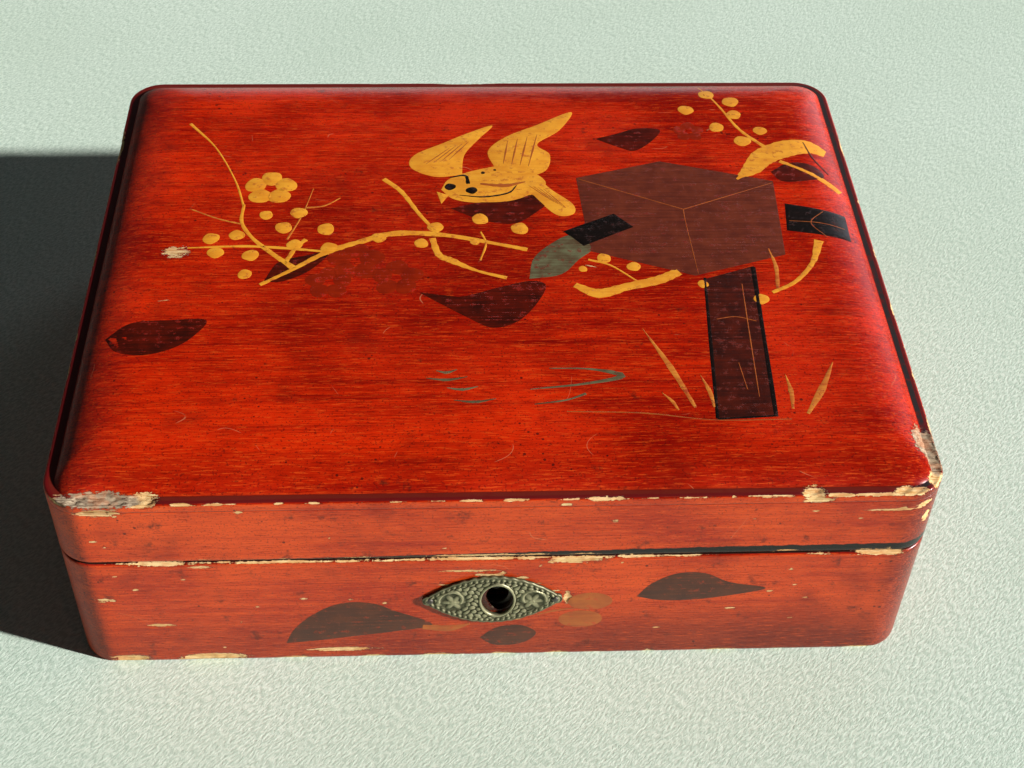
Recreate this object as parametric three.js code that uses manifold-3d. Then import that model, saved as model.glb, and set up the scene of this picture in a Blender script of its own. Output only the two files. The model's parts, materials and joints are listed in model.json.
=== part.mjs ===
// A lacquered wooden jewelry box: a low case with rounded corners, a hinged lid whose top board swells into
// a shallow crown, a box lock behind a stamped escutcheon, a silk-lined inside and a lift-out tray.
// Millimetres, +Z up. The origin is the middle of the underside, and the keyhole side faces -Y.
import * as THREE from "three";
import { ParametricGeometry } from "three/addons/geometries/ParametricGeometry.js";
import { mergeVertices } from "three/addons/utils/BufferGeometryUtils.js";
import Module from "manifold-3d";

const wasm = await Module();
wasm.setup();

// ---- Driving dimensions ----
const WIDTH = 250;
const DEPTH = 200;
const CORNER = 11; // radius of the upright corners
const WALL = 8;
const BASE_TOP = 46.7; // the parting line
const PARTING_GAP = 0.6;
const ARRIS = 72; // the edge where the lid's sides meet its top
const LID_EDGE = 3; // thickness of the lid's top board at its edge
const CROWN = { ledge: 4, rise: 4.5, run: 17, footCorner: 7, topCorner: 13, steps: 6 };
const BOTTOM = 5;

const SEAM = 0.1; // glue line between lining and wood
const PLAY = 0.3; // clearance round fitted hardware

const HINGE = { x: 66, length: 24, inset: 2.2, knuckle: 2, bore: 1.2, pin: 0.9, joint: 0.15 };
const LEAF = { thick: 1, reach: 5.2, screwX: 7.5, screwY: -3.75 };
const STOP_CHAMFER = 50; // degrees: the two back chamfers meet when the lid stands at twice this angle

const LOCK = { width: 32, depth: 5.2, sheet: 0.8, plate: 40, low: 18, keyZ: 28.4, drillPin: 1.2 };
const BOLT = { thick: 0.9, left: -13, right: 9, low: 33.2, high: 37.6, arm: 4, notch: 2 };
const TONGUE = { low: 39.8, high: 42.2, short: 1.2 }; // short: how far its end stops from the staple at rest
const STAPLE = { width: 2.2, depth: 2.9, low: 38.8, rim: 0.8 };
const STRIKE = { width: 28, depth: 5.6, sheet: 1, screw: 10.5 };
const ESCUTCHEON = { x: -1.4, width: 41, height: 21.5, sheet: 0.8, pin: 18.4 };
const KEYHOLE = { width: 9.4, height: 13.8, rim: 1.2, rimRise: 0.5 };
const KEYWAY = { x: 0.7, z: 0.5, width: 8, height: 12 }; // the wood's own hole, cut a little off centre

const FLOOR_PAD = 3;
const LINER = 1.2;
const REST = { width: 3, length: 168, top: 23 }; // strips the tray stands on
const TRAY = { wall: 3, height: 20, floor: 2, gap: 0.8, split: -38, cell: 38, lift: 0.3 };
const RING_ROLL = { count: 4, height: 13 };
const LID_PAD = { inset: 8, thickness: 5 };

const LID_BOTTOM = BASE_TOP + PARTING_GAP;
const FRONT = -DEPTH / 2;
const INNER_X = WIDTH / 2 - WALL;
const INNER_Y = DEPTH / 2 - WALL;
const HINGE_Y = DEPTH / 2 - HINGE.inset;
const HINGE_Z = BASE_TOP + PARTING_GAP / 2;

// ---- Materials ----
function paint(color, roughness, metalness = 0) {
  return new THREE.MeshStandardMaterial({ color, roughness, metalness });
}

const RED_LACQUER = paint(0xa81e08, 0.25);
const BLACK_LACQUER = paint(0x16100e, 0.3);
const WHITE_METAL = paint(0x8f9788, 0.45, 0.9);
const BRASS = paint(0xa8823c, 0.4, 0.9);
const IRON = paint(0x4b4946, 0.5, 0.8);
const SILK = paint(0xc9a86a, 0.6);

// ---- Solids: closed meshes joined and cut with manifold-3d ----
function solid(geometry) {
  const bare = geometry.index ? geometry.toNonIndexed() : geometry.clone();
  for (const name of Object.keys(bare.attributes)) {
    if (name !== "position") bare.deleteAttribute(name);
  }
  const merged = mergeVertices(bare, 1e-4);
  const vertProperties = merged.attributes.position.array;
  return new wasm.Manifold(new wasm.Mesh({ numProp: 3, vertProperties, triVerts: merged.index.array }));
}

function geometryOf(body) {
  const { numProp, numVert, vertProperties, triVerts } = body.getMesh();
  const points = new Float32Array(numVert * 3);
  for (let i = 0; i < numVert; i++) points.set(vertProperties.subarray(i * numProp, i * numProp + 3), i * 3);
  const geometry = new THREE.BufferGeometry();
  geometry.setAttribute("position", new THREE.BufferAttribute(points, 3));
  geometry.setIndex(new THREE.BufferAttribute(triVerts, 1));
  return geometry;
}

// The two numbers in rising order, so that a mirrored piece can be written as side * near, side * far.
const span = (a, b) => [Math.min(a, b), Math.max(a, b)];

const block = (x, y, z) => {
  const geometry = new THREE.BoxGeometry(x[1] - x[0], y[1] - y[0], z[1] - z[0]);
  return geometry.translate((x[0] + x[1]) / 2, (y[0] + y[1]) / 2, (z[0] + z[1]) / 2);
};
const cut = (body, ...tools) => tools.reduce((left, tool) => left.subtract(solid(tool)), body);
const join = (body, ...more) => more.reduce((whole, piece) => whole.add(solid(piece)), body);

function slab(shape, low, high, curveSegments = 8) {
  const settings = { depth: high - low, bevelEnabled: false, curveSegments };
  return new THREE.ExtrudeGeometry(shape, settings).translate(0, 0, low);
}

// A slab whose outline is drawn in X and Z, standing between two depths along Y.
function standing(shape, front, back, curveSegments = 8) {
  const settings = { depth: back - front, bevelEnabled: false, curveSegments };
  return new THREE.ExtrudeGeometry(shape, settings).rotateX(Math.PI / 2).translate(0, back, 0);
}

function polygon(points) {
  return new THREE.Shape(points.map(([x, y]) => new THREE.Vector2(x, y)));
}

function ellipse(x, y, width, height) {
  return new THREE.Shape().absellipse(x, y, width / 2, height / 2, 0, 2 * Math.PI);
}

function node(name, geometry, material, x = 0, y = 0, z = 0) {
  const mesh = new THREE.Mesh(geometry, material);
  mesh.name = name;
  mesh.position.set(x, y, z);
  return mesh;
}

const box = new THREE.Group();
const base = new THREE.Group();
const lid = new THREE.Group();
box.add(base, lid);

// ---- Screws: a countersunk head on a plain shank, pointing down, with the head's top at z = 0 ----
const SCREW = { head: 1.4, sink: 0.8, shank: 0.65, length: 6, slot: 0.35, sides: 10, play: 0.12 };

function screwTurned(profile) {
  const points = profile.map(([r, z]) => new THREE.Vector2(r, z));
  return new THREE.LatheGeometry(points, SCREW.sides).rotateX(Math.PI / 2);
}

function screwGeometry() {
  const { head, sink, shank, length, slot } = SCREW;
  const body = screwTurned([[0, -length], [shank, -length], [shank, -sink], [head, 0], [0, 0]]);
  return geometryOf(cut(solid(body), block([-head, head], [-slot / 2, slot / 2], [-slot, slot])));
}

// The hole for one screw, a little larger all round, turned about X before it is placed.
function screwHole(x, y, z, turn = 0) {
  const { head, sink, shank, length, play } = SCREW;
  const wide = head + play;
  const narrow = shank + play;
  const deep = -length - play;
  const hole = screwTurned([[0, deep], [narrow, deep], [narrow, -sink], [wide, 0], [wide, play], [0, play]]);
  return hole.rotateX(turn).translate(x, y, z);
}

const SCREW_BODY = screwGeometry();

// ---- Hinges: two brass butts whose knuckles lie in the chamfered back edges ----
// Local frame: the pin's axis is X and the leaves reach towards -Y. The base's leaf is side -1, the lid's is 1.
const KNUCKLE_SPANS = { "-1": [[-12, -4], [4, 12]], 1: [[-4, 4]] };

function alongX(radius, from, to, sides = 20) {
  const rod = new THREE.CylinderGeometry(radius, radius, to - from, sides).rotateZ(Math.PI / 2);
  return rod.translate((from + to) / 2, 0, 0);
}

function hingeLeaf(side) {
  const half = HINGE.length / 2;
  const past = HINGE.knuckle + 1;
  const face = (side * PARTING_GAP) / 2;
  const knuckles = KNUCKLE_SPANS[side].map(([from, to]) => {
    return alongX(HINGE.knuckle, from + HINGE.joint, to - HINGE.joint);
  });
  const gaps = KNUCKLE_SPANS[-side].map(([from, to]) => {
    return block([from - HINGE.joint, to + HINGE.joint], [-HINGE.knuckle - PLAY, past], [-past, past]);
  });
  const plate = solid(block([-half, half], [-LEAF.reach, 0], span(face, face + side * LEAF.thick)));
  const bore = alongX(HINGE.bore, -half - 1, half + 1, 16);
  return geometryOf(cut(join(plate, ...knuckles), bore, ...gaps, ...leafScrewHoles(side)));
}

// The screws go in from the gap side: down into the base, up into the lid.
function leafScrewHoles(side) {
  const turn = side < 0 ? 0 : Math.PI;
  return [-LEAF.screwX, LEAF.screwX].map((x) => screwHole(x, LEAF.screwY, (side * PARTING_GAP) / 2, turn));
}

// What the back wall loses for one hinge: the leaf's recess, the knuckle's hollow and the screw holes.
function hingeMortise(x, side) {
  const half = HINGE.length / 2 + PLAY;
  const face = (side * PARTING_GAP) / 2;
  const z = span(face - side, face + side * LEAF.thick);
  const recess = block([-half, half], [-LEAF.reach - PLAY, HINGE.inset + 1], z);
  const hollow = alongX(HINGE.knuckle + PLAY, -half, half);
  return [recess, hollow, ...leafScrewHoles(side)].map((tool) => tool.translate(x, HINGE_Y, HINGE_Z));
}

// The long chamfer of one back edge. Both aim at the hinge axis, and they meet when the lid is fully open.
function stopChamfer(side) {
  const reach = 6;
  const drop = reach * Math.tan(THREE.MathUtils.degToRad(STOP_CHAMFER));
  const shape = polygon([[0, 0], [reach, side * drop], [reach, -side * 2]]);
  const prism = new THREE.ExtrudeGeometry(shape, { depth: WIDTH, bevelEnabled: false });
  prism.rotateY(Math.PI / 2).rotateX(Math.PI / 2); // the outline's X becomes Y, its Y becomes Z
  return prism.translate(-WIDTH / 2, HINGE_Y, HINGE_Z);
}

// ---- Walls: four mitred boards with a quarter-round outer corner shared by each pair ----
// Local frame: the outer face lies on y = 0 and the board runs along X, with its inside towards +Y.
function boardPlan(length) {
  const half = length / 2;
  const centre = half - CORNER;
  const shape = new THREE.Shape();
  shape.moveTo(half - WALL, WALL);
  shape.lineTo(WALL - half, WALL);
  shape.absarc(-centre, CORNER, CORNER, (-3 * Math.PI) / 4, -Math.PI / 2, false);
  shape.absarc(centre, CORNER, CORNER, -Math.PI / 2, -Math.PI / 4, false);
  return shape;
}

const SIDES = {
  front: { length: WIDTH, turn: 0, x: 0, y: FRONT },
  right: { length: DEPTH, turn: Math.PI / 2, x: WIDTH / 2, y: 0 },
  back: { length: WIDTH, turn: Math.PI, x: 0, y: -FRONT },
  left: { length: DEPTH, turn: -Math.PI / 2, x: -WIDTH / 2, y: 0 },
};

function board(side, low, high) {
  const { length, turn, x, y } = SIDES[side];
  return slab(boardPlan(length), low, high, 5).rotateZ(turn).translate(x, y, 0);
}

// What the front wall loses for the lock: the case's mortise, the plate's recess, the keyway and the screws.
const LOCK_BACK = FRONT + WALL; // the plate is flush with the wall's inner face
const LOCK_SCREWS = [[-18, 23], [18, 23], [-18, 41], [18, 41]];

function lockMortise() {
  const half = LOCK.width / 2 + PLAY;
  const inner = LOCK_BACK - LOCK.sheet;
  const deep = inner - LOCK.depth - PLAY;
  const plate = LOCK.plate / 2 + SEAM;
  const keyway = ellipse(KEYWAY.x, LOCK.keyZ + KEYWAY.z, KEYWAY.width, KEYWAY.height);
  return [
    block([-half, half], [deep, LOCK_BACK + 1], [LOCK.low + 2, BASE_TOP + 1]),
    block([-plate, plate], [inner, LOCK_BACK + 1], [LOCK.low - SEAM, BASE_TOP + 1]),
    block([-plate, plate], [deep, LOCK_BACK + 1], [BASE_TOP - LOCK.sheet, BASE_TOP + 1]),
    standing(keyway, FRONT - 1, deep + 1),
    ...LOCK_SCREWS.map(([x, z]) => screwHole(x, LOCK_BACK, z, -Math.PI / 2)),
    ...[-1, 1].map((side) => escutcheonPinHole(side)),
  ];
}

const escutcheonPinHole = (side) => {
  const hole = new THREE.CylinderGeometry(0.6, 0.6, 3, 8);
  return hole.translate(ESCUTCHEON.x + side * ESCUTCHEON.pin, FRONT + 0.5, LOCK.keyZ);
};

function strikeRecess() {
  const half = STRIKE.width / 2 + SEAM;
  const y = [STAPLE_Y - STRIKE.depth / 2 - SEAM, STAPLE_Y + STRIKE.depth / 2 + SEAM];
  return [
    block([-half, half], y, [LID_BOTTOM - 1, LID_BOTTOM + STRIKE.sheet]),
    ...[-1, 1].map((side) => screwHole(side * STRIKE.screw, STAPLE_Y, LID_BOTTOM, Math.PI)),
  ];
}

const STAPLE_Y = LOCK_BACK - LOCK.sheet - LOCK.depth / 2;

const baseCuts = {
  front: lockMortise(),
  right: [],
  back: [stopChamfer(-1), ...hingeMortise(-HINGE.x, -1), ...hingeMortise(HINGE.x, -1)],
  left: [],
};
const lidCuts = {
  front: strikeRecess(),
  right: [],
  back: [stopChamfer(1), ...hingeMortise(-HINGE.x, 1), ...hingeMortise(HINGE.x, 1)],
  left: [],
};

for (const side of Object.keys(SIDES)) {
  const lower = cut(solid(board(side, 0, BASE_TOP)), ...baseCuts[side]);
  const upper = cut(solid(board(side, LID_BOTTOM, ARRIS - LID_EDGE)), ...lidCuts[side]);
  base.add(node(`base_${side}_wall`, geometryOf(lower), RED_LACQUER));
  lid.add(node(`lid_${side}_wall`, geometryOf(upper), RED_LACQUER));
}

// ---- Lid board: a thin flat ledge round a crown that rises along a quarter of an ellipse ----
const ARC_STEPS = 5;

// The point at step j round a rounded rectangle, counted anticlockwise from the right.
function roundedPoint(j, inset, radius, target) {
  const corner = Math.floor(j / (ARC_STEPS + 1)) % 4;
  const angle = ((corner + (j % (ARC_STEPS + 1)) / ARC_STEPS) * Math.PI) / 2;
  const right = corner === 0 || corner === 3 ? 1 : -1;
  const back = corner < 2 ? 1 : -1;
  target.x = right * (WIDTH / 2 - inset - radius) + radius * Math.cos(angle);
  target.y = back * (DEPTH / 2 - inset - radius) + radius * Math.sin(angle);
}

// Rings of one profile, taken right round the board, closed by a centre point below and another on top.
function lidBoard() {
  const rings = [
    { inset: 0, radius: CORNER, z: ARRIS - LID_EDGE },
    { inset: 0, radius: CORNER, z: ARRIS },
  ];
  for (let i = 0; i <= CROWN.steps; i++) {
    const angle = (i / CROWN.steps) * (Math.PI / 2);
    const across = 1 - Math.cos(angle);
    rings.push({
      inset: CROWN.ledge + CROWN.run * across,
      radius: THREE.MathUtils.lerp(CROWN.footCorner, CROWN.topCorner, across),
      z: ARRIS + CROWN.rise * Math.sin(angle),
    });
  }
  const around = 4 * (ARC_STEPS + 1);
  const place = (u, v, target) => {
    const row = Math.round(v * (rings.length + 1));
    const ring = rings[THREE.MathUtils.clamp(row - 1, 0, rings.length - 1)];
    target.set(0, 0, ring.z);
    if (row > 0 && row <= rings.length) {
      roundedPoint(Math.round(u * around) % around, ring.inset, ring.radius, target);
    }
  };
  return geometryOf(solid(new ParametricGeometry(place, around, rings.length + 1)));
}

lid.add(node("lid_top_board", lidBoard(), RED_LACQUER));
const bottomBoard = block([-INNER_X, INNER_X], [-INNER_Y, INNER_Y], [0, BOTTOM]);
base.add(node("base_bottom_board", bottomBoard, BLACK_LACQUER));

// ---- Hinge hardware ----
const BASE_LEAF = hingeLeaf(-1);
const LID_LEAF = hingeLeaf(1);
const HINGE_PIN = alongX(HINGE.pin, -HINGE.length / 2, HINGE.length / 2, 16);

for (const [hand, x] of [["left", -HINGE.x], ["right", HINGE.x]]) {
  base.add(node(`${hand}_hinge_base_leaf`, BASE_LEAF, BRASS, x, HINGE_Y, HINGE_Z));
  base.add(node(`${hand}_hinge_pin`, HINGE_PIN, BRASS, x, HINGE_Y, HINGE_Z));
  lid.add(node(`${hand}_hinge_lid_leaf`, LID_LEAF, BRASS, x, HINGE_Y, HINGE_Z));
  [x - LEAF.screwX, x + LEAF.screwX].forEach((screwX, i) => {
    const y = HINGE_Y + LEAF.screwY;
    base.add(node(`${hand}_hinge_base_screw_${i + 1}`, SCREW_BODY, BRASS, screwX, y, BASE_TOP));
    const upper = node(`${hand}_hinge_lid_screw_${i + 1}`, SCREW_BODY, BRASS, screwX, y, LID_BOTTOM);
    upper.rotation.x = Math.PI;
    lid.add(upper);
  });
}

// ---- Lock: a folded case, a bent plate with the drill pin, a sliding bolt and its leaf spring ----
const lock = new THREE.Group();
base.add(lock);
const PLATE_FRONT = LOCK_BACK - LOCK.sheet;
const CASE_FRONT = PLATE_FRONT - LOCK.depth;
const CASE_LOW = LOCK.low + 2 + PLAY;
const CASE_HIGH = BASE_TOP - LOCK.sheet - SEAM;

// The slot that the staple comes down through as the lid shuts, swinging a little forwards as it does.
function stapleSlot(low, high) {
  const halfX = STAPLE.width / 2 + 0.7;
  const halfY = STAPLE.depth / 2 + 0.4;
  return block([-halfX, halfX], [STAPLE_Y - halfY, STAPLE_Y + halfY], [low, high]);
}

function lockCase() {
  const half = LOCK.width / 2;
  const back = PLATE_FRONT - SEAM;
  const shell = solid(block([-half, half], [CASE_FRONT, back], [CASE_LOW, CASE_HIGH]));
  const inside = block(
    [LOCK.sheet - half, half - LOCK.sheet],
    [CASE_FRONT + LOCK.sheet, back + 1],
    [CASE_LOW + LOCK.sheet, CASE_HIGH - LOCK.sheet],
  );
  const keyhole = standing(ellipse(0, LOCK.keyZ, 7, 10), CASE_FRONT - 1, CASE_FRONT + 2);
  return geometryOf(cut(shell, inside, keyhole, stapleSlot(CASE_HIGH - 2, CASE_HIGH + 1)));
}

function lockPlate() {
  const half = LOCK.plate / 2;
  const upright = solid(block([-half, half], [PLATE_FRONT, LOCK_BACK], [LOCK.low, BASE_TOP]));
  const flange = block([-half, half], [CASE_FRONT, PLATE_FRONT + 0.1], [BASE_TOP - LOCK.sheet, BASE_TOP]);
  const screws = LOCK_SCREWS.map(([x, z]) => screwHole(x, LOCK_BACK, z, -Math.PI / 2));
  return geometryOf(cut(join(upright, flange), stapleSlot(BASE_TOP - 2, BASE_TOP + 1), ...screws));
}

// An upright slide with a notch below, which the key's bit pushes, and a raised tongue that points right.
function lockBolt() {
  const { left, right, low, high, arm, notch, thick } = BOLT;
  const end = -STAPLE.width / 2 - TONGUE.short;
  const outline = polygon([
    [left, low],
    [-notch, low],
    [-notch, low + notch],
    [notch, low + notch],
    [notch, low],
    [right, low],
    [right, high],
    [left + arm, high],
    [left + arm, TONGUE.low],
    [end, TONGUE.low],
    [end, TONGUE.high],
    [left, TONGUE.high],
  ]);
  return standing(outline, STAPLE_Y - thick / 2, STAPLE_Y + thick / 2);
}

// A strip that leaves the case's right side, turns back and presses down above the bolt's tail.
function boltSpring() {
  const root = LOCK.width / 2 - LOCK.sheet - SEAM;
  const outside = [[root, 5.6], [9.8, 5.3], [5.8, 3], [4.6, 0.8]];
  const inside = [[5.2, 0.5], [6.4, 2.4], [10, 4.6], [root, 4.9]];
  const outline = polygon([...outside, ...inside].map(([x, above]) => [x, BOLT.high + above]));
  return standing(outline, STAPLE_Y - 0.6, STAPLE_Y + 0.6);
}

function drillPin() {
  const length = 2.8;
  const pin = new THREE.CylinderGeometry(LOCK.drillPin, LOCK.drillPin, length, 14);
  return pin.translate(0, PLATE_FRONT - SEAM - length / 2, LOCK.keyZ);
}

lock.add(
  node("lock_case", lockCase(), IRON),
  node("lock_plate", lockPlate(), BRASS),
  node("lock_bolt", lockBolt(), IRON),
  node("lock_spring", boltSpring(), IRON),
  node("lock_drill_pin", drillPin(), IRON),
);
LOCK_SCREWS.forEach(([x, z], i) => {
  const screw = node(`lock_screw_${i + 1}`, SCREW_BODY, BRASS, x, LOCK_BACK, z);
  screw.rotation.x = -Math.PI / 2;
  lock.add(screw);
});

// ---- Strike: a plate under the lid's front edge with the staple that the bolt shoots through ----
function strikePlate() {
  const half = STRIKE.width / 2;
  const halfStaple = STAPLE.depth / 2;
  const y = [STAPLE_Y - STRIKE.depth / 2, STAPLE_Y + STRIKE.depth / 2];
  const plate = solid(block([-half, half], y, [LID_BOTTOM, LID_BOTTOM + STRIKE.sheet]));
  const staple = block(
    [-STAPLE.width / 2, STAPLE.width / 2],
    [STAPLE_Y - halfStaple, STAPLE_Y + halfStaple],
    [STAPLE.low, LID_BOTTOM + 0.5],
  );
  const window = block(
    [-5, 5],
    [STAPLE_Y - halfStaple + STAPLE.rim, STAPLE_Y + halfStaple - STAPLE.rim],
    [STAPLE.low + 0.7, TONGUE.high + 0.4],
  );
  const screws = [-1, 1].map((side) => screwHole(side * STRIKE.screw, STAPLE_Y, LID_BOTTOM, Math.PI));
  return geometryOf(cut(join(plate, staple), window, ...screws));
}

lid.add(node("strike_plate", strikePlate(), BRASS));
[-1, 1].forEach((side, i) => {
  const screw = node(`strike_screw_${i + 1}`, SCREW_BODY, BRASS, side * STRIKE.screw, STAPLE_Y, LID_BOTTOM);
  screw.rotation.x = Math.PI;
  lid.add(screw);
});

// ---- Escutcheon: a pointed oval of thin metal with a raised rim round its upright oval hole ----
function escutcheon() {
  const half = { x: ESCUTCHEON.width / 2, z: ESCUTCHEON.height / 2 };
  const outline = new THREE.Shape();
  outline.moveTo(-half.x, 0);
  outline.bezierCurveTo(-half.x * 0.62, half.z * 0.9, -half.x * 0.3, half.z, 0, half.z);
  outline.bezierCurveTo(half.x * 0.3, half.z, half.x * 0.62, half.z * 0.9, half.x, 0);
  outline.bezierCurveTo(half.x * 0.62, -half.z * 0.9, half.x * 0.3, -half.z, 0, -half.z);
  outline.bezierCurveTo(-half.x * 0.3, -half.z, -half.x * 0.62, -half.z * 0.9, -half.x, 0);
  const front = -ESCUTCHEON.sheet;
  const { width, height } = KEYHOLE;
  const rim = ellipse(-ESCUTCHEON.x, 0, width + 2 * KEYHOLE.rim, height + 2 * KEYHOLE.rim);
  const hole = ellipse(-ESCUTCHEON.x, 0, width, height);
  const raised = standing(rim, front - KEYHOLE.rimRise, front / 2, 10);
  const plate = join(solid(standing(outline, front, 0, 6)), raised);
  const pinHoles = [-1, 1].map((side) => {
    return new THREE.CylinderGeometry(0.6, 0.6, 4, 8).translate(side * ESCUTCHEON.pin, 0, 0);
  });
  return geometryOf(cut(plate, standing(hole, -3, 3, 10), ...pinHoles));
}

// A nail with a domed head that lies on the escutcheon and a shank that ends in the wood.
function escutcheonPin() {
  const profile = [[0, -2], [0.45, -2], [0.45, 0.05], [1.1, 0.05], [0.9, 0.45], [0, 0.65]];
  return new THREE.LatheGeometry(profile.map(([r, y]) => new THREE.Vector2(r, y)), 10).rotateZ(Math.PI);
}

const NAIL = escutcheonPin();
base.add(node("escutcheon", escutcheon(), WHITE_METAL, ESCUTCHEON.x, FRONT, LOCK.keyZ));
for (const [hand, side] of [["left", -1], ["right", 1]]) {
  const x = ESCUTCHEON.x + side * ESCUTCHEON.pin;
  base.add(node(`escutcheon_${hand}_pin`, NAIL, IRON, x, FRONT - ESCUTCHEON.sheet - 0.05, LOCK.keyZ));
}

// ---- Linings ----
const PAD_TOP = BOTTOM + FLOOR_PAD;
const LINER_TOP = BASE_TOP - 1.5;
const liner = { x: INNER_X - SEAM, y: INNER_Y - SEAM };
const padHalf = { x: liner.x - LINER - 0.5, y: liner.y - LINER - 0.5 };
const linerHeight = [BOTTOM + SEAM, LINER_TOP];

const liningEnd = liner.x - LINER - SEAM;

for (const [hand, side] of [["left", -1], ["right", 1]]) {
  const lining = block(span(side * liner.x, side * (liner.x - LINER)), [-liner.y, liner.y], linerHeight);
  base.add(node(`${hand}_lining`, lining, SILK));
  const restX = span(side * liningEnd, side * (liningEnd - REST.width));
  const rest = block(restX, [-REST.length / 2, REST.length / 2], [PAD_TOP + 0.5, REST.top]);
  base.add(node(`${hand}_tray_rest`, rest, BLACK_LACQUER));
}

// The front lining is cut out round the lock's plate.
function frontLining() {
  const half = LOCK.plate / 2 + 0.6;
  const whole = solid(block([-liningEnd, liningEnd], [-liner.y, LINER - liner.y], linerHeight));
  const cutout = block([-half, half], [-INNER_Y - 1, -INNER_Y + 3], [LOCK.low - 0.6, BASE_TOP]);
  return geometryOf(cut(whole, cutout));
}

// A flat cushion, centred, reaching halfX and halfY each way.
function cushion(halfX, halfY, low, high) {
  return block([-halfX, halfX], [-halfY, halfY], [low, high]);
}

const LID_PAD_TOP = ARRIS - LID_EDGE - SEAM;
const lidPadX = INNER_X - LID_PAD.inset;
const lidPadY = INNER_Y - LID_PAD.inset;
base.add(
  node("front_lining", frontLining(), SILK),
  node("back_lining", block([-liningEnd, liningEnd], [liner.y - LINER, liner.y], linerHeight), SILK),
  node("floor_pad", cushion(padHalf.x, padHalf.y, BOTTOM + SEAM, PAD_TOP), SILK),
);
lid.add(node("lid_pad", cushion(lidPadX, lidPadY, LID_PAD_TOP - LID_PAD.thickness, LID_PAD_TOP), SILK));

// ---- Tray: its group stands on the rests, so local z = 0 is the tray's underside ----
const tray = new THREE.Group();
tray.position.z = REST.top + TRAY.lift;
box.add(tray);
const trayHalf = { x: liner.x - LINER - TRAY.gap, y: liner.y - LINER - TRAY.gap };
const inTray = { x: trayHalf.x - TRAY.wall, y: trayHalf.y - TRAY.wall };
const trayFloorTop = TRAY.floor + SEAM;
const DIVIDER = 1.6;
const DIVIDER_TOP = TRAY.height - 2;

// A side wall with a round notch in its top edge to lift the tray by.
function traySide(side) {
  const x = span(side * inTray.x, side * trayHalf.x);
  const thumb = new THREE.CylinderGeometry(9, 9, 8, 24).rotateZ(Math.PI / 2);
  thumb.translate(side * trayHalf.x, 0, TRAY.height + 2);
  return geometryOf(cut(solid(block(x, [-trayHalf.y, trayHalf.y], [0, TRAY.height])), thumb));
}

for (const [hand, side] of [["left", -1], ["right", 1]]) {
  tray.add(node(`tray_${hand}_wall`, traySide(side), BLACK_LACQUER));
}
const trayEnd = inTray.x - SEAM;
for (const [name, side] of [["front", -1], ["back", 1]]) {
  const wall = block([-trayEnd, trayEnd], span(side * inTray.y, side * trayHalf.y), [0, TRAY.height]);
  tray.add(node(`tray_${name}_wall`, wall, BLACK_LACQUER));
}
const trayIn = { x: inTray.x - SEAM, y: inTray.y - SEAM };
tray.add(node("tray_floor", block([-trayIn.x, trayIn.x], [-trayIn.y, trayIn.y], [0, TRAY.floor]), SILK));

const dividerHeight = [trayFloorTop, DIVIDER_TOP];
const longDivider = block([-trayIn.x, trayIn.x], [TRAY.split, TRAY.split + DIVIDER], dividerHeight);
tray.add(node("tray_long_divider", longDivider, BLACK_LACQUER));
const crossDivider = (x, y) => block([x - DIVIDER / 2, x + DIVIDER / 2], y, dividerHeight);
const backRow = [TRAY.split + DIVIDER + SEAM, trayIn.y];
const frontRow = [-trayIn.y, TRAY.split - SEAM];
tray.add(
  node("tray_left_divider", crossDivider(-TRAY.cell, backRow), BLACK_LACQUER),
  node("tray_right_divider", crossDivider(TRAY.cell, backRow), BLACK_LACQUER),
  node("tray_front_divider", crossDivider(TRAY.cell, frontRow), BLACK_LACQUER),
);

// Ring cushions: rolls with round tops, side by side in the front left cell, which hold rings between them.
function ringRoll(width, length) {
  const half = width / 2;
  const shape = new THREE.Shape();
  shape.moveTo(-half, 0);
  shape.lineTo(half, 0);
  shape.lineTo(half, RING_ROLL.height - half);
  shape.absarc(0, RING_ROLL.height - half, half, 0, Math.PI, false);
  const roll = new THREE.ExtrudeGeometry(shape, { depth: length, bevelEnabled: false, curveSegments: 6 });
  return roll.rotateX(Math.PI / 2).rotateZ(Math.PI / 2);
}

const rollPitch = (frontRow[1] - frontRow[0]) / RING_ROLL.count;
const rollLength = TRAY.cell - DIVIDER / 2 + trayIn.x - 2 * PLAY;
for (let i = 0; i < RING_ROLL.count; i++) {
  const y = frontRow[0] + rollPitch * (i + 0.5);
  const roll = ringRoll(rollPitch - PLAY, rollLength);
  tray.add(node(`ring_roll_${i + 1}`, roll, SILK, PLAY - trayIn.x, y, trayFloorTop));
}

export default box;
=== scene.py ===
"""An old lacquered jewelry box: chipped red lacquer over softwood, a painted lid and a stamped escutcheon.

Lengths in the code are millimetres in the part's own frame (origin under the middle of the box, keyhole side
towards -Y, +Z up) until mesh_piece() turns them into metres.
"""

import json
import math
import random

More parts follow.
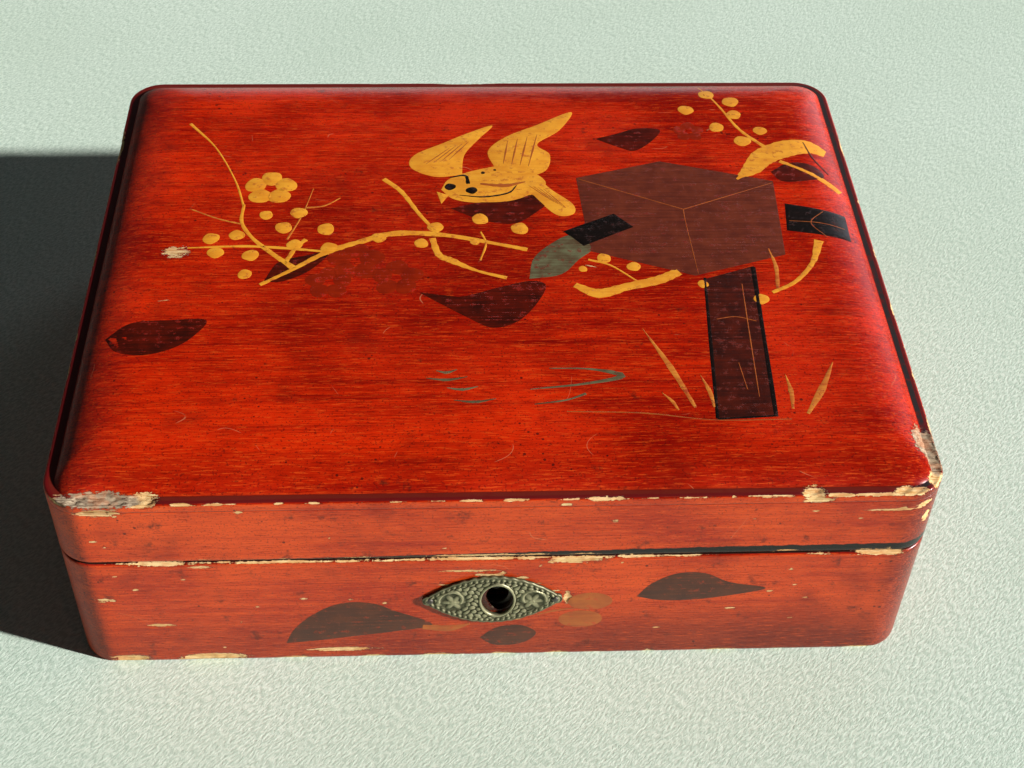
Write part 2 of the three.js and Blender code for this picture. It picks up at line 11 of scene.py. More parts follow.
import bmesh
import bpy
import numpy as np
from mathutils import Euler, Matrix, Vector


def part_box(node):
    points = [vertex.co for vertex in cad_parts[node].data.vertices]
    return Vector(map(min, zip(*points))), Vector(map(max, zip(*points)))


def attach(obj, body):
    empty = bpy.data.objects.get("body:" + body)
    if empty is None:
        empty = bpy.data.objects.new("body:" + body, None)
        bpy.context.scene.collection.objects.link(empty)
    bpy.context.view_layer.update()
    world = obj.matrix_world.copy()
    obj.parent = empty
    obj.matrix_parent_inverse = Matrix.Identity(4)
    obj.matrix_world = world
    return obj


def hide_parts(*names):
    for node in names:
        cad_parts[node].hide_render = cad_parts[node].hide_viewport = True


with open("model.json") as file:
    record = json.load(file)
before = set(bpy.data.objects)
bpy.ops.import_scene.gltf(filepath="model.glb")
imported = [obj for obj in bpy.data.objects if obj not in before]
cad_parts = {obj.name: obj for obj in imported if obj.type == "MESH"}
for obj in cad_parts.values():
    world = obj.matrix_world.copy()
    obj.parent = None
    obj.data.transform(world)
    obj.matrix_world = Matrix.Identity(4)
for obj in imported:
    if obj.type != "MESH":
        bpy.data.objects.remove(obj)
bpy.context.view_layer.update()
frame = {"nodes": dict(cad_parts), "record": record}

# ---- Driving dimensions ----
MM = 0.001
WIDTH, DEPTH = 250, 200
CORNER = 11
WALL = 8
BASE_TOP = 46.7
LID_BOTTOM = 47.3
BOARD_LOW = 69
ARRIS = 72
LEDGE, RISE, RUN = 3.2, 4.5, 17.8
CROWN_FOOT = math.radians(12)  # where on its ellipse the crown starts, so that it meets the ledge at a slope
FLAT_X = WIDTH / 2 - LEDGE - RUN  # half sizes of the lid's middle, inside the crown
FLAT_Y = DEPTH / 2 - LEDGE - RUN
FOOT_CORNER, TOP_CORNER = 7, 13
DOME = 0.4  # how far the lid's middle swells above the crown's top line
TOP = ARRIS + RISE
FRONT = -DEPTH / 2
HINGE_X, HINGE_HALF = 66, 12.3
HINGE_Y, HINGE_Z, KNUCKLE_ROOM = 97.8, 47.0, 2.3
CHAMFER = math.radians(50)
KEY_Z = 28.4
KEY_DIRECTION = (0.89, -0.29, 0.36)
RIM_DROP = 0.08  # the wood's rims lie this much below the hardware that is let into them
WALL_ROUND, BOARD_ROUND = 0.9, 0.7  # radii of the rounded arrises
PLATE_X, PLATE_HALF_X, PLATE_HALF_Z = -1.4, 20.5, 10.75
PLATE_SHEET = 0.72
KEYHOLE_HALF_X, KEYHOLE_HALF_Z = 4.7, 6.9
NAIL_X = 18.4  # from the escutcheon's middle to either nail
GRID = 0.9  # spacing of the vertices along the box's edges
rng = random.Random(7)


# ---- Meshes ----
def add_object(name, data):
    obj = bpy.data.objects.new(name, data)
    bpy.context.scene.collection.objects.link(obj)
    return obj


def apply_modifiers(obj):
    """Turns obj's mesh into what its modifiers make of it, with its attributes kept."""
    depsgraph = bpy.context.evaluated_depsgraph_get()
    evaluated = obj.evaluated_get(depsgraph)
    result = bpy.data.meshes.new_from_object(evaluated, preserve_all_data_layers=True, depsgraph=depsgraph)
    obj.modifiers.clear()
    obj.data = result


def merge_close(obj):
    """Joins the points that lie on one another, as where a grid shrinks to a point."""
    obj.modifiers.new("weld", "WELD").merge_threshold = 0.002 * MM
    apply_modifiers(obj)


def make_outward(obj):
    """Turns every face to point out of its own closed shape."""
    work = bmesh.new()
    work.from_mesh(obj.data)
    bmesh.ops.recalc_face_normals(work, faces=work.faces)
    work.to_mesh(obj.data)
    work.free()


def mesh_piece(name, verts, faces, material, body, attributes=None):
    """A mesh object from points in millimetres, riding on a CAD body."""
    mesh = bpy.data.meshes.new(name)
    mesh.from_pydata((np.asarray(verts, float) * MM).tolist(), [], [list(map(int, f)) for f in faces])
    mesh.validate()
    for key, values in (attributes or {}).items():
        layer = mesh.attributes.new(key, "FLOAT", "POINT")
        layer.data.foreach_set("value", np.asarray(values, np.float32))
    mesh.polygons.foreach_set("use_smooth", [True] * len(mesh.polygons))
    mesh.materials.append(material)
    obj = add_object(name, mesh)
    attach(obj, body)
    return obj


def ring_faces(rows, columns, close_rows=False):
    """Quads over a grid whose columns wrap round, and whose rows do too if close_rows is true."""
    faces = []
    for r in range(rows if close_rows else rows - 1):
        below, above = r * columns, (r + 1) % rows * columns
        for c in range(columns):
            d = (c + 1) % columns
            faces.append((below + c, below + d, above + d, above + c))
    return faces


def smoothstep(low, high, value):
    t = np.clip((value - low) / (high - low), 0, 1)
    return t * t * (3 - 2 * t)


def ripple(points, scale, seed):
    """A smooth value between -1 and 1 at each point, from a few crossed waves of about the given length."""
    waves = np.random.default_rng(seed)
    total = np.zeros(len(points))
    for _ in range(7):
        direction = waves.normal(size=3)
        direction *= 2 * math.pi / (scale * waves.uniform(0.6, 1.8) * np.linalg.norm(direction))
        total += np.sin(points @ direction + waves.uniform(0, 6.28))
    return np.clip(total / 3.2, -1, 1)


def outline_stations():
    """Stations round the box's outline: (corner's x sign, its y sign, angle, share of the next side)."""
    arc_steps = max(8, int(CORNER * math.pi / 2 / GRID))
    stations = []
    for k, (sx, sy) in enumerate([(1, 1), (-1, 1), (-1, -1), (1, -1)]):
        for i in range(arc_steps + 1):
            stations.append((sx, sy, (k + i / arc_steps) * math.pi / 2, 0.0))
        straight = (DEPTH if k % 2 else WIDTH) - 2 * CORNER
        count = int(straight / GRID)
        for i in range(1, count):
            stations.append((sx, sy, (k + 1) * math.pi / 2, i / count))
    return stations


STATIONS = outline_stations()


def ring(inset, radius):
    """The outline moved inwards by inset with that corner radius: one point for each station."""
    half_x, half_y = WIDTH / 2 - inset - radius, DEPTH / 2 - inset - radius
    points = []
    for sx, sy, angle, along in STATIONS:
        nx, ny = math.cos(angle), math.sin(angle)
        x, y = sx * half_x + radius * nx, sy * half_y + radius * ny
        if along:
            x += -2 * sx * half_x * along * (abs(ny) > 0.5)
            y += -2 * sy * half_y * along * (abs(nx) > 0.5)
        points.append((x, y))
    return np.array(points)


def stack(rows):
    """Rows of (ring points, z) as one array of 3-D points."""
    return np.concatenate([np.column_stack([xy, np.full(len(xy), float(z))]) for xy, z in rows])


def edge_round(radius, from_z, up, steps=3):
    """(inset, z) along a rounded arris between an upright face and a level one, from the upright face."""
    return [
        (radius * (1 - math.cos(a)), from_z + up * radius * math.sin(a))
        for a in np.linspace(0, math.pi / 2, steps + 1)[1:]
    ]


def plate_height(share):
    """Half the escutcheon's height, at a share of the way from its middle to either rounded tip."""
    share = min(1, abs(share))
    oval_part = PLATE_HALF_Z * (1 - share ** 2) ** 0.95 * (0.985 + 0.015 * math.cos(14 * math.pi * share))
    tip = 1.9 * math.sqrt(max(0, 1 - ((share - 0.92) / 0.08) ** 2))
    return max(oval_part, tip)


# ---- Wear: where the lacquer has chipped off ----
# Each chip is an ellipsoid on the surface: centre, half sizes, how deep it bites, how grey its wood has gone.
CHIPS = [
    ((-109.5, -98.2, 72), (10.5, 3.7, 1.6), 1.3, 1.0),
    ((-97.5, -98.4, 72), (5.0, 3.2, 1.5), 1.2, 0.0),
    ((-109.5, -100, 68.9), (6.5, 2, 1.3), 0.7, 0.1),
    ((-119.5, -98, 71.6), (4, 2.5, 1), 0.6, 0.3),
    ((29.5, -100, 71.9), (6.5, 1.0, 0.8), 0.7, 0.0),
    ((87, -99.2, 72), (3.4, 2.6, 1.4), 0.9, 0.0),
    ((88.5, -100, 70), (4.2, 2, 1.0), 0.6, 0.0),
    ((95, -100, 71.8), (6, 1.0, 0.7), 0.6, 0.0),
    ((114, -98.8, 72), (5.5, 2.0, 1.0), 0.8, 0.0),
    ((104, -100, 71.9), (9, 0.9, 0.6), 0.5, 0.0),
    ((122.5, -94.5, 71.8), (3.0, 3.6, 1.4), 1.0, 0.1),
    ((121.5, -81, 72.8), (4.8, 6.0, 3.0), 0.9, 0.8),
    ((123, -88, 72.2), (2.4, 4.5, 1.6), 0.8, 0.6),
    ((111, -100, 65.4), (9, 1.5, 0.55), 0.4, 0.0),
    ((118.5, -98, 66.6), (3, 2, 1.4), 0.5, 0.0),
    ((121, -97.5, 60), (1.6, 2, 2.2), 0.4, 0.1),
    ((-96, -100, 46.6), (13, 1.2, 0.9), 0.6, 0.1),
    ((-84, -100, 44.8), (4, 1, 0.5), 0.4, 0.0),
    ((-62, -100, 46.6), (30, 0.8, 0.5), 0.3, 0.1),
    ((-5, -100, 46.6), (42, 0.9, 0.6), 0.4, 0.1),
    ((22, -100, 45.6), (9, 0.9, 1.5), 0.4, 0.1),
    ((40, -100, 46.6), (24, 0.8, 0.5), 0.3, 0.1),
    ((-6, -100, 48.2), (9, 0.8, 0.5), 0.3, 0.0),
    ((110, -99.5, 46.7), (9, 1.6, 1.3), 0.8, 0.1),
    ((-113, -99.5, 30.5), (3.5, 1, 1.1), 0.4, 0.1),
    ((-99, -100, 18), (4.5, 1, 0.7), 0.4, 0.0),
    ((-110, -99.5, 1.8), (6.5, 2, 1.5), 0.8, 0.2),
    ((-85, -100, 1.6), (11, 1.2, 1.9), 0.7, 0.0),
    ((-46, -100, 4.4), (11, 1, 1.0), 0.5, 0.0),
    ((-8, -100, 41.2), (10, 1, 0.45), 0.4, 0.0),
    ((20.6, -100, 28), (1.2, 1, 3.2), 0.4, 0.0),
    ((-98.5, 0.5, TOP + DOME), (4.5, 3.3, 1), 0.3, 0.3),
    ((90, -72, TOP), (2.6, 0.7, 1), 0.3, 0.0),
    ((-6, 100, 71.8), (14, 1.1, 0.8), 0.6, 0.1),
    ((118, 97, 0.8), (6, 4, 1.4), 0.9, 0.2),
    ((-124.8, 62, 71.8), (1.2, 9, 0.9), 0.6, 0.1),
    ((125, 30, 46.6), (1.2, 14, 0.8), 0.5, 0.0),
]


def edge_nibbles():
    """Small chips strung along the box's edges, thickest along the front edges of the lid and of the base."""
    # Each edge's height, the usual gap between its chips and their usual size.
    edges = [
        (ARRIS, 8, 0.5),
        (LID_BOTTOM, 16, 0.4),
        (LID_BOTTOM + 1.3, 9, 0.36),
        (BASE_TOP, 7, 0.55),
        (0.3, 12, 0.8),
    ]
    nibbles = []
    for z, gap, size in edges:
        for side, length in enumerate((WIDTH, DEPTH, WIDTH, DEPTH)):
            spread = gap if side == 0 else 2.6 * gap
            sign = -1 if side in (0, 3) else 1
            at = -length / 2 + 9
            while at < length / 2 - 9:
                at += rng.uniform(0.2, 1.8) * spread
                long, small = rng.uniform(0.8, 6.5), size * rng.uniform(0.5, 1.4)
                if side % 2 == 0:
                    place, half = (at, sign * DEPTH / 2, z), (long, small, small)
                else:
                    place, half = (sign * WIDTH / 2, at, z), (small, long, small)
                nibbles.append((place, half, 0.2 * small, 0.1))
    return nibbles


def plate_nibbles():
    """Chips round the escutcheon, where fitting it broke the lacquer."""
    nibbles = []
    for share in np.linspace(-0.8, 0.9, 15):
        z = plate_height(share) + rng.uniform(0.1, 0.9)
        up = 1 if rng.random() < 0.7 else -1
        place = (PLATE_X + share * PLATE_HALF_X, FRONT, KEY_Z + up * z)
        nibbles.append((place, (rng.uniform(1.2, 3.0), 1, rng.uniform(0.3, 0.7)), 0.15, 0.2))
    return nibbles


def specks():
    """Tiny flecks knocked out of the front and the top."""
    flecks = []
    for _ in range(46):
        x, size = rng.uniform(-115, 115), rng.uniform(0.25, 0.6)
        z = rng.choice([rng.uniform(3, 44), rng.uniform(50, 70)])
        flecks.append(((x, FRONT, z), (size * rng.uniform(1, 4), 1, size), 0.1, 0.0))
        place = (rng.uniform(-100, 100), rng.uniform(-76, 76), TOP + 0.2)
        flecks.append((place, (size * rng.uniform(0.7, 2), size * 0.7, 1), 0.1, 0.1))
    return flecks


CHIPS += edge_nibbles() + plate_nibbles() + specks()


def wear_fields(points):
    """wear is 1 in a chip's middle, 0 at its edge and -1 far away. bite is its depth and grey its age."""
    wear = np.full(len(points), -1.0)
    bite = np.zeros(len(points))
    grey = np.zeros(len(points))
    for centre, half, depth, age in CHIPS:
        reach = 2 * max(half)
        near = np.flatnonzero(np.abs(points - centre).max(axis=1) < reach)
        if not len(near):
            continue
        field = 1 - np.linalg.norm((points[near] - centre) / half, axis=1)
        wear[near] = np.maximum(wear[near], field)
        inside = smoothstep(0, 0.45, field)
        bite[near] = np.maximum(bite[near], depth * inside)
        grey[near] = np.maximum(grey[near], age * smoothstep(-0.4, 0.2, field))
    return wear, bite, grey


def chipped(points, outward, inset):
    """Points with the chips bitten out of them along outward, and the attributes that the lacquer reads."""
    wear, bite, grey = wear_fields(points)
    rough = 0.5 + 0.25 * ripple(points, 1.7, 3)
    moved = points - outward * (bite * rough)[:, None]
    return moved, {"wear": wear, "grey": grey, "inset": inset}


def outwards(points, rows, columns):
    """Unit normals of a grid of points whose columns wrap round, from the slopes between neighbours."""
    grid = points.reshape(rows, columns, 3)
    around = np.roll(grid, -1, axis=1) - np.roll(grid, 1, axis=1)
    along = np.gradient(grid, axis=0)
    normals = np.cross(around, along).reshape(-1, 3)
    return normals / np.maximum(np.linalg.norm(normals, axis=1), 1e-9)[:, None]


# ---- Shader helpers ----
class Shader:
    """A material under construction. Its methods add nodes and return the sockets that the next ones take."""

    def __init__(self, name):
        self.material = bpy.data.materials.new(name)
        self.material.use_nodes = True
        self.tree = self.material.node_tree
        self.surface = self.tree.nodes["Principled BSDF"]
        coordinates = self.node("ShaderNodeTexCoord").outputs
        self.place, self.facing = coordinates["Object"], coordinates["Normal"]

    def node(self, kind, inputs=None, **settings):
        made = self.tree.nodes.new(kind)
        for key, value in settings.items():
            setattr(made, key, value)
        for key, value in (inputs or {}).items():
            self.set(made.inputs[key], value)
        return made

    def set(self, socket, value):
        if isinstance(value, bpy.types.NodeSocket):
            self.tree.links.new(value, socket)
        elif isinstance(value, tuple) and len(value) == 3 and socket.type == "RGBA":
            socket.default_value = (*value, 1)
        else:
            socket.default_value = value

    def attribute(self, name):
        return self.node("ShaderNodeAttribute", attribute_name=name).outputs["Fac"]

    def math(self, operation, a, b=0.0, clamp=False):
        made = self.node("ShaderNodeMath", {0: a, 1: b}, operation=operation, use_clamp=clamp)
        return made.outputs[0]

    def split(self, vector):
        return list(self.node("ShaderNodeSeparateXYZ", {0: vector}).outputs)

    def times(self, *values):
        product = values[0]
        for value in values[1:]:
            product = self.math("MULTIPLY", product, value)
        return product

    def plus(self, a, b):
        return self.math("ADD", a, b)

    def minus(self, a, b):
        return self.math("SUBTRACT", a, b)

    def scaled(self, scale):
        return self.node("ShaderNodeMapping", {"Vector": self.place, "Scale": scale}).outputs[0]

    def noise(self, scale, detail=4.0, vector=None, roughness=0.55):
        """Noise with features about 1 / scale metres across."""
        inputs = {"Scale": scale, "Detail": detail, "Roughness": roughness}
        inputs["Vector"] = vector or self.place
        return self.node("ShaderNodeTexNoise", inputs).outputs["Fac"]

    def cells(self, scale):
        """The distance to the nearest of many scattered points, in cells about 1 / scale metres across."""
        return self.node("ShaderNodeTexVoronoi", {"Scale": scale, "Vector": self.place}).outputs["Distance"]

    def band(self, value, low, high, out_low=0.0, out_high=1.0):
        """out_low where value is at low, out_high where it is at high, and eased between them."""
        inputs = {"Value": value, "From Min": low, "From Max": high, "To Min": out_low, "To Max": out_high}
        return self.node("ShaderNodeMapRange", inputs, interpolation_type="SMOOTHSTEP").outputs[0]

    def mix(self, factor, a, b):
        made = self.node("ShaderNodeMix", data_type="RGBA")
        self.set(made.inputs[0], factor)
        self.set(made.inputs[6], a)
        self.set(made.inputs[7], b)
        return made.outputs[2]

    def blend(self, factor, a, b):
        return self.node("ShaderNodeMix", {0: factor, 2: a, 3: b}, data_type="FLOAT").outputs[0]

    def bump(self, height, distance, strength=1.0):
        inputs = {"Height": height, "Distance": distance, "Strength": strength}
        return self.node("ShaderNodeBump", inputs).outputs[0]

    def finish(self, color, roughness, normal, **uniform):
        """Links what varies to the surface, sets what is uniform on it and returns the material."""
        self.set(self.surface.inputs["Base Color"], color)
        self.set(self.surface.inputs["Roughness"], roughness)
        self.set(self.surface.inputs["Normal"], normal)
        for key, value in uniform.items():
            self.surface.inputs[key.replace("_", " ")].default_value = value
        return self.material


def rgb(*channels):
    """A colour given as it looks on a screen, 0 to 255, in the linear values that shaders take."""
    return tuple(((c / 255 + 0.055) / 1.055) ** 2.4 if c > 10 else c / 255 / 12.92 for c in channels)


# ---- Materials ----
def wood_color(s, grey):
    """Bare softwood with grain along X, cream where it is fresh and grey-brown where it has weathered."""
    grain = s.noise(1, 6, s.scaled((120, 2600, 2600)), 0.65)
    fresh = s.mix(s.band(grain, 0.35, 0.68), rgb(206, 152, 88), rgb(240, 208, 152))
    old = s.mix(s.band(grain, 0.36, 0.64), rgb(104, 82, 64), rgb(188, 168, 140))
    return s.mix(grey, fresh, old), grain


def brush_streaks(s, sideways):
    """Broad and narrow streaks, which run round the box on its sides and from left to right on its lid."""

    def streaks(along, across, roughness):
        in_x = s.noise(1, 4, s.scaled((along, across, across)), roughness)
        in_y = s.noise(1, 4, s.scaled((across, along, across)), roughness)
        return s.blend(sideways, in_x, in_y)

    return s.plus(s.times(streaks(12, 420, 0.55), 0.45), s.times(streaks(22, 1900, 0.7), 0.55))


def lacquer_reds(s, x, y, z, level, streak, cloud):
    """The lacquer's colour: deeper on the lid, darker towards the bottom of the sides, with painted shade on
    the right side, and dark inside the box.
    """
    tone = s.band(s.plus(s.times(streak, 0.6), s.times(cloud, 0.45)), 0.4, 0.63)
    middle_left = {0: s.place, 1: (-32 * MM, -8 * MM, TOP * MM)}
    away = s.node("ShaderNodeVectorMath", middle_left, operation="DISTANCE").outputs["Value"]
    patch = s.band(s.plus(away, s.times(cloud, 50 * MM)), 115 * MM, 30 * MM, 0, 0.75)
    deep = s.math("MAXIMUM", s.band(s.noise(8.5, 2), 0.42, 0.62, 0, 0.3), patch)
    thin_top = s.mix(tone, rgb(144, 10, 1), rgb(220, 43, 1))
    thick_top = s.mix(tone, rgb(106, 5, 1), rgb(158, 17, 1))
    top = s.mix(deep, thin_top, thick_top)
    front_crown = s.band(y, -79 * MM, -92 * MM, 0, 0.45)
    top = s.mix(front_crown, top, rgb(112, 6, 1))
    side = s.mix(tone, rgb(160, 36, 10), rgb(212, 74, 22))
    # The sides darken towards the bottom, more so to the right, and the right end and right side are darkened
    # as painted shade.
    low = s.times(s.band(z, 32 * MM, 4 * MM), s.band(x, -120 * MM, 120 * MM, 0.35, 0.8))
    low_and_shaded_right = s.math("MAXIMUM", low, s.band(x, 108.5 * MM, 120.5 * MM, 0, 0.95))
    side = s.mix(low_and_shaded_right, side, s.mix(tone, rgb(76, 20, 12), rgb(104, 30, 17)))
    red = s.mix(level, side, top)
    inside = s.times(
        s.math("LESS_THAN", s.math("ABSOLUTE", x), (WIDTH / 2 - WALL + 0.5) * MM),
        s.math("LESS_THAN", s.math("ABSOLUTE", y), (DEPTH / 2 - WALL + 0.5) * MM),
        s.math("LESS_THAN", z, (BOARD_LOW + 0.1) * MM),
        0.75,
    )
    return s.mix(inside, red, rgb(70, 8, 4))


def blemishes(s, red, level, fine):
    """Thin and thick brush marks, pinholes, stains and hairline scratches over the red."""
    red = s.mix(s.band(fine, 0.54, 0.66, 0, 0.5), red, rgb(232, 88, 22))
    red = s.mix(s.band(fine, 0.45, 0.33, 0, 0.6), red, rgb(92, 8, 2))
    red = s.mix(s.band(s.noise(1500, 2), 0.58, 0.66, 0, 0.6), red, rgb(80, 10, 6))
    crowded = s.band(s.noise(40, 3), 0.42, 0.7, 0.0, 0.17)
    pinhole = s.band(s.minus(s.cells(300), crowded), 0.0, -0.03, 0, 0.8)
    red = s.mix(pinhole, red, rgb(60, 12, 8))
    red = s.mix(s.band(s.noise(46, 4), 0.56, 0.78, 0, 0.55), red, rgb(96, 12, 4))
    smudge = s.noise(130, 5, roughness=0.7)
    stain = s.times(s.band(smudge, s.blend(level, 0.56, 0.62), s.blend(level, 0.7, 0.74)), 0.75)
    red = s.mix(stain, red, rgb(74, 22, 12))
    winding = s.math("ABSOLUTE", s.minus(s.noise(34, 1), 0.5))
    hairline = s.times(s.band(winding, 0.0018, 0.001), s.band(s.noise(75, 2), 0.6, 0.65, 0, 0.4))
    return s.mix(hairline, red, rgb(226, 150, 104))


def ledge_and_pinstripe(s, red, x, z, level):
    """Darkens the lid's flat ledge and draws the pinstripe at the crown's foot. Also returns the ledge."""
    inset = s.attribute("inset")
    on_lid_top = s.times(level, s.math("GREATER_THAN", z, (ARRIS - 0.8) * MM))
    ledge = s.times(s.band(inset, 0.3, 0.6), s.band(inset, LEDGE + 0.2, LEDGE - 0.5), on_lid_top)
    red = s.mix(ledge, red, rgb(100, 8, 8))
    wavering = s.plus(inset, s.times(s.noise(90, 2), 0.5))
    stripe = s.times(s.band(wavering, 1.7, 1.9), s.band(wavering, LEDGE + 0.3, LEDGE + 0.1), on_lid_top)
    rubbed = s.band(s.noise(300, 4), 0.28, 0.46, 0.35, 1)
    stripe_color = s.mix(s.band(x, 112 * MM, 119 * MM), rgb(104, 24, 12), rgb(40, 34, 34))
    return s.mix(s.times(stripe, rubbed), red, stripe_color), ledge


def black_edges(s, red, x, z, upward):
    """The lid's lower edge, painted black in a band that widens to the right, and the base's dark rim."""
    width = s.band(x, -120 * MM, 120 * MM, 0.8 * MM, 4.0 * MM)
    ragged = s.times(s.noise(330, 5), 1.3 * MM)
    band_top = s.plus(s.plus(width, ragged), (LID_BOTTOM - 0.9) * MM)
    under = s.band(s.minus(band_top, z), 0.0, 0.35 * MM)
    black = s.times(under, s.math("GREATER_THAN", z, (BASE_TOP + 0.2) * MM))
    red = s.mix(black, red, rgb(24, 18, 16))
    rim = s.times(s.band(upward, 0.8, 0.95), s.math("LESS_THAN", z, 50 * MM))
    return s.mix(rim, red, rgb(30, 18, 14))


def chips_and_keyhole_shade(s, red, x, y, z):
    """Bare wood in the chips and painted shade in the keyhole: the colour, how bare it is, and the wood's
    grain.

    The mesh stores each chip as a smooth field, which fine noise breaks up here so that its edge is ragged.
    """
    tear = s.minus(s.noise(620, 6, roughness=0.75), 0.5)
    shard = s.minus(s.noise(1, 4, s.scaled((170, 1500, 1500)), 0.6), 0.5)
    field = s.plus(s.attribute("wear"), s.plus(s.times(tear, 1.5), s.times(shard, 1.3)))
    bare = s.band(field, 0.05, 0.1)
    lip = s.math("SUBTRACT", s.band(field, -0.15, 0.0), bare, True)
    wood, grain = wood_color(s, s.band(s.plus(s.attribute("grey"), s.times(tear, 0.8)), 0.2, 0.6))
    wood = s.mix(s.band(s.noise(240, 3), 0.45, 0.65, 0, 0.4), wood, rgb(196, 112, 62))
    color = s.mix(s.times(lip, 0.4), red, rgb(70, 10, 5))
    color = s.mix(bare, color, wood)
    # Painted shade: the keyway through the front wall goes nearly black round the keyhole's axis.
    from_keyhole = s.node("ShaderNodeCombineXYZ", {0: x, 2: s.minus(z, KEY_Z * MM)}).outputs[0]
    away = s.node("ShaderNodeVectorMath", {0: from_keyhole}, operation="LENGTH").outputs["Value"]
    keyhole_shade = s.band(s.plus(away, s.times(tear, 6 * MM)), 7.6 * MM, 6.2 * MM, 0, 0.92)
    keyhole_shade = s.times(keyhole_shade, s.math("LESS_THAN", y, (FRONT + WALL + 0.1) * MM))
    return s.mix(keyhole_shade, color, rgb(22, 14, 10)), bare, grain


def lacquer():
    """Old red lacquer, brushed on in streaks: its colours, its painted lines, its chips and its gloss."""
    s = Shader("red_lacquer")
    x, y, z = s.split(s.place)
    facing = s.split(s.facing)
    level = s.band(s.math("ABSOLUTE", facing[2]), 0.35, 0.8)
    sideways = s.math("GREATER_THAN", s.math("ABSOLUTE", facing[0]), 0.75)
    streak = brush_streaks(s, sideways)
    fine = s.noise(1, 3, s.scaled((190, 2600, 2600)), 0.7)
    cloud = s.noise(21, 3)

    red = lacquer_reds(s, x, y, z, level, streak, cloud)
    red = blemishes(s, red, level, fine)
    red, ledge = ledge_and_pinstripe(s, red, x, z, level)
    red = black_edges(s, red, x, z, facing[2])
    color, bare, grain = chips_and_keyhole_shade(s, red, x, y, z)

    # One height for the brush marks, the chips' depth and the bare wood's grain, in millimetres.
    skin = s.plus(s.times(streak, 0.035), s.times(fine, 0.03))
    pit = s.times(bare, s.minus(s.times(grain, 0.12), 0.3))
    normal = s.bump(s.plus(skin, pit), MM)
    smooth = s.band(s.plus(s.times(fine, 0.5), s.times(cloud, 0.5)), 0.35, 0.65, 0.2, 0.36)
    dulled = s.math("MAXIMUM", ledge, s.band(x, -100 * MM, -117 * MM))
    roughness = s.plus(smooth, s.times(dulled, 0.25))
    return s.finish(color, s.blend(bare, roughness, 0.78), normal, IOR=1.4)


def black_lacquer():
    """Thin black lacquer over wood, rubbed brown where hands touch it."""
    s = Shader("black_lacquer")
    brushed = s.noise(1, 4, s.scaled((60, 700, 700)))
    cloud = s.noise(45, 4)
    color = s.mix(s.band(cloud, 0.42, 0.7), rgb(26, 18, 16), rgb(58, 30, 20))
    edge = s.band(s.node("ShaderNodeNewGeometry").outputs["Pointiness"], 0.52, 0.6)
    scuffed = s.times(edge, s.band(s.noise(400, 5), 0.45, 0.6))
    color = s.mix(scuffed, color, rgb(120, 74, 42))
    normal = s.bump(brushed, 0.15 * MM, 0.4)
    return s.finish(color, s.band(cloud, 0.3, 0.7, 0.3, 0.5), normal)


def metal(name, clean, tarnish, roughness):
    """An aged metal: clean where it is rubbed, tarnished in clouds and pitted."""
    s = Shader(name)
    cloud = s.noise(230, 5)
    spots = s.noise(1600, 4)
    color = s.mix(s.band(cloud, 0.35, 0.65, 0, 0.8), clean, tarnish)
    color = s.mix(s.band(spots, 0.58, 0.7, 0, 0.6), color, tarnish)
    edge = s.band(s.node("ShaderNodeNewGeometry").outputs["Pointiness"], 0.5, 0.58)
    color = s.mix(s.times(edge, 0.6), color, clean)
    normal = s.bump(s.plus(spots, s.noise(4200, 2)), 0.06 * MM, 0.6)
    return s.finish(color, s.band(cloud, 0.3, 0.7, roughness, roughness + 0.25), normal, Metallic=0.9)


def pewter():
    """Stamped grey metal: dull and dark in the hollows of its relief, brighter where it is rubbed."""
    s = Shader("pewter")
    cloud = s.noise(420, 4)
    spots = s.noise(2600, 3)
    height = s.plus(s.attribute("relief"), s.times(s.minus(cloud, 0.5), 0.5))
    color = s.mix(s.band(height, 0.02, 0.5), rgb(78, 76, 54), rgb(164, 158, 124))
    color = s.mix(s.band(spots, 0.58, 0.7, 0, 0.5), color, rgb(66, 62, 46))
    normal = s.bump(spots, 0.05 * MM, 0.6)
    return s.finish(color, s.band(height, 0.0, 0.6, 0.55, 0.34), normal, Metallic=0.55)


def silk(name, base, shine):
    """Plain-woven silk: fine threads both ways, slubs, and a little fading."""
    s = Shader(name)
    warp = s.noise(1, 2, s.scaled((3800, 240, 240)))
    weft = s.noise(1, 2, s.scaled((240, 3800, 3800)))
    fade = s.noise(26, 3)
    thread = s.plus(s.times(warp, 0.5), s.times(weft, 0.5))
    color = s.mix(s.band(thread, 0.35, 0.65), base, shine)
    color = s.mix(s.band(fade, 0.45, 0.75, 0, 0.35), color, rgb(120, 84, 44))
    normal = s.bump(thread, 0.12 * MM, 0.7)
    return s.finish(color, s.band(weft, 0.3, 0.7, 0.42, 0.6), normal, Sheen_Weight=0.3)


def painted(name, light, dark, worn, roughness, metallic=0.0):
    """Raised paint on the lacquer, brushed unevenly and rubbed through to a worn colour in places."""
    s = Shader(name)
    brushed = s.noise(1, 4, s.scaled((55, 1300, 1300)), 0.65)
    cloud = s.noise(170, 4)
    tone = s.band(s.plus(s.times(brushed, 0.5), s.times(cloud, 0.5)), 0.36, 0.64)
    color = s.mix(tone, dark, light)
    rubbed = s.times(s.noise(420, 5, roughness=0.7), s.plus(brushed, 0.5))
    rubbed = s.band(rubbed, 0.57, 0.66, 0, 0.75)
    color = s.mix(rubbed, color, worn)
    normal = s.bump(s.plus(brushed, rubbed), 0.03 * MM)
    return s.finish(color, s.blend(rubbed, roughness, 0.6), normal, Metallic=metallic)


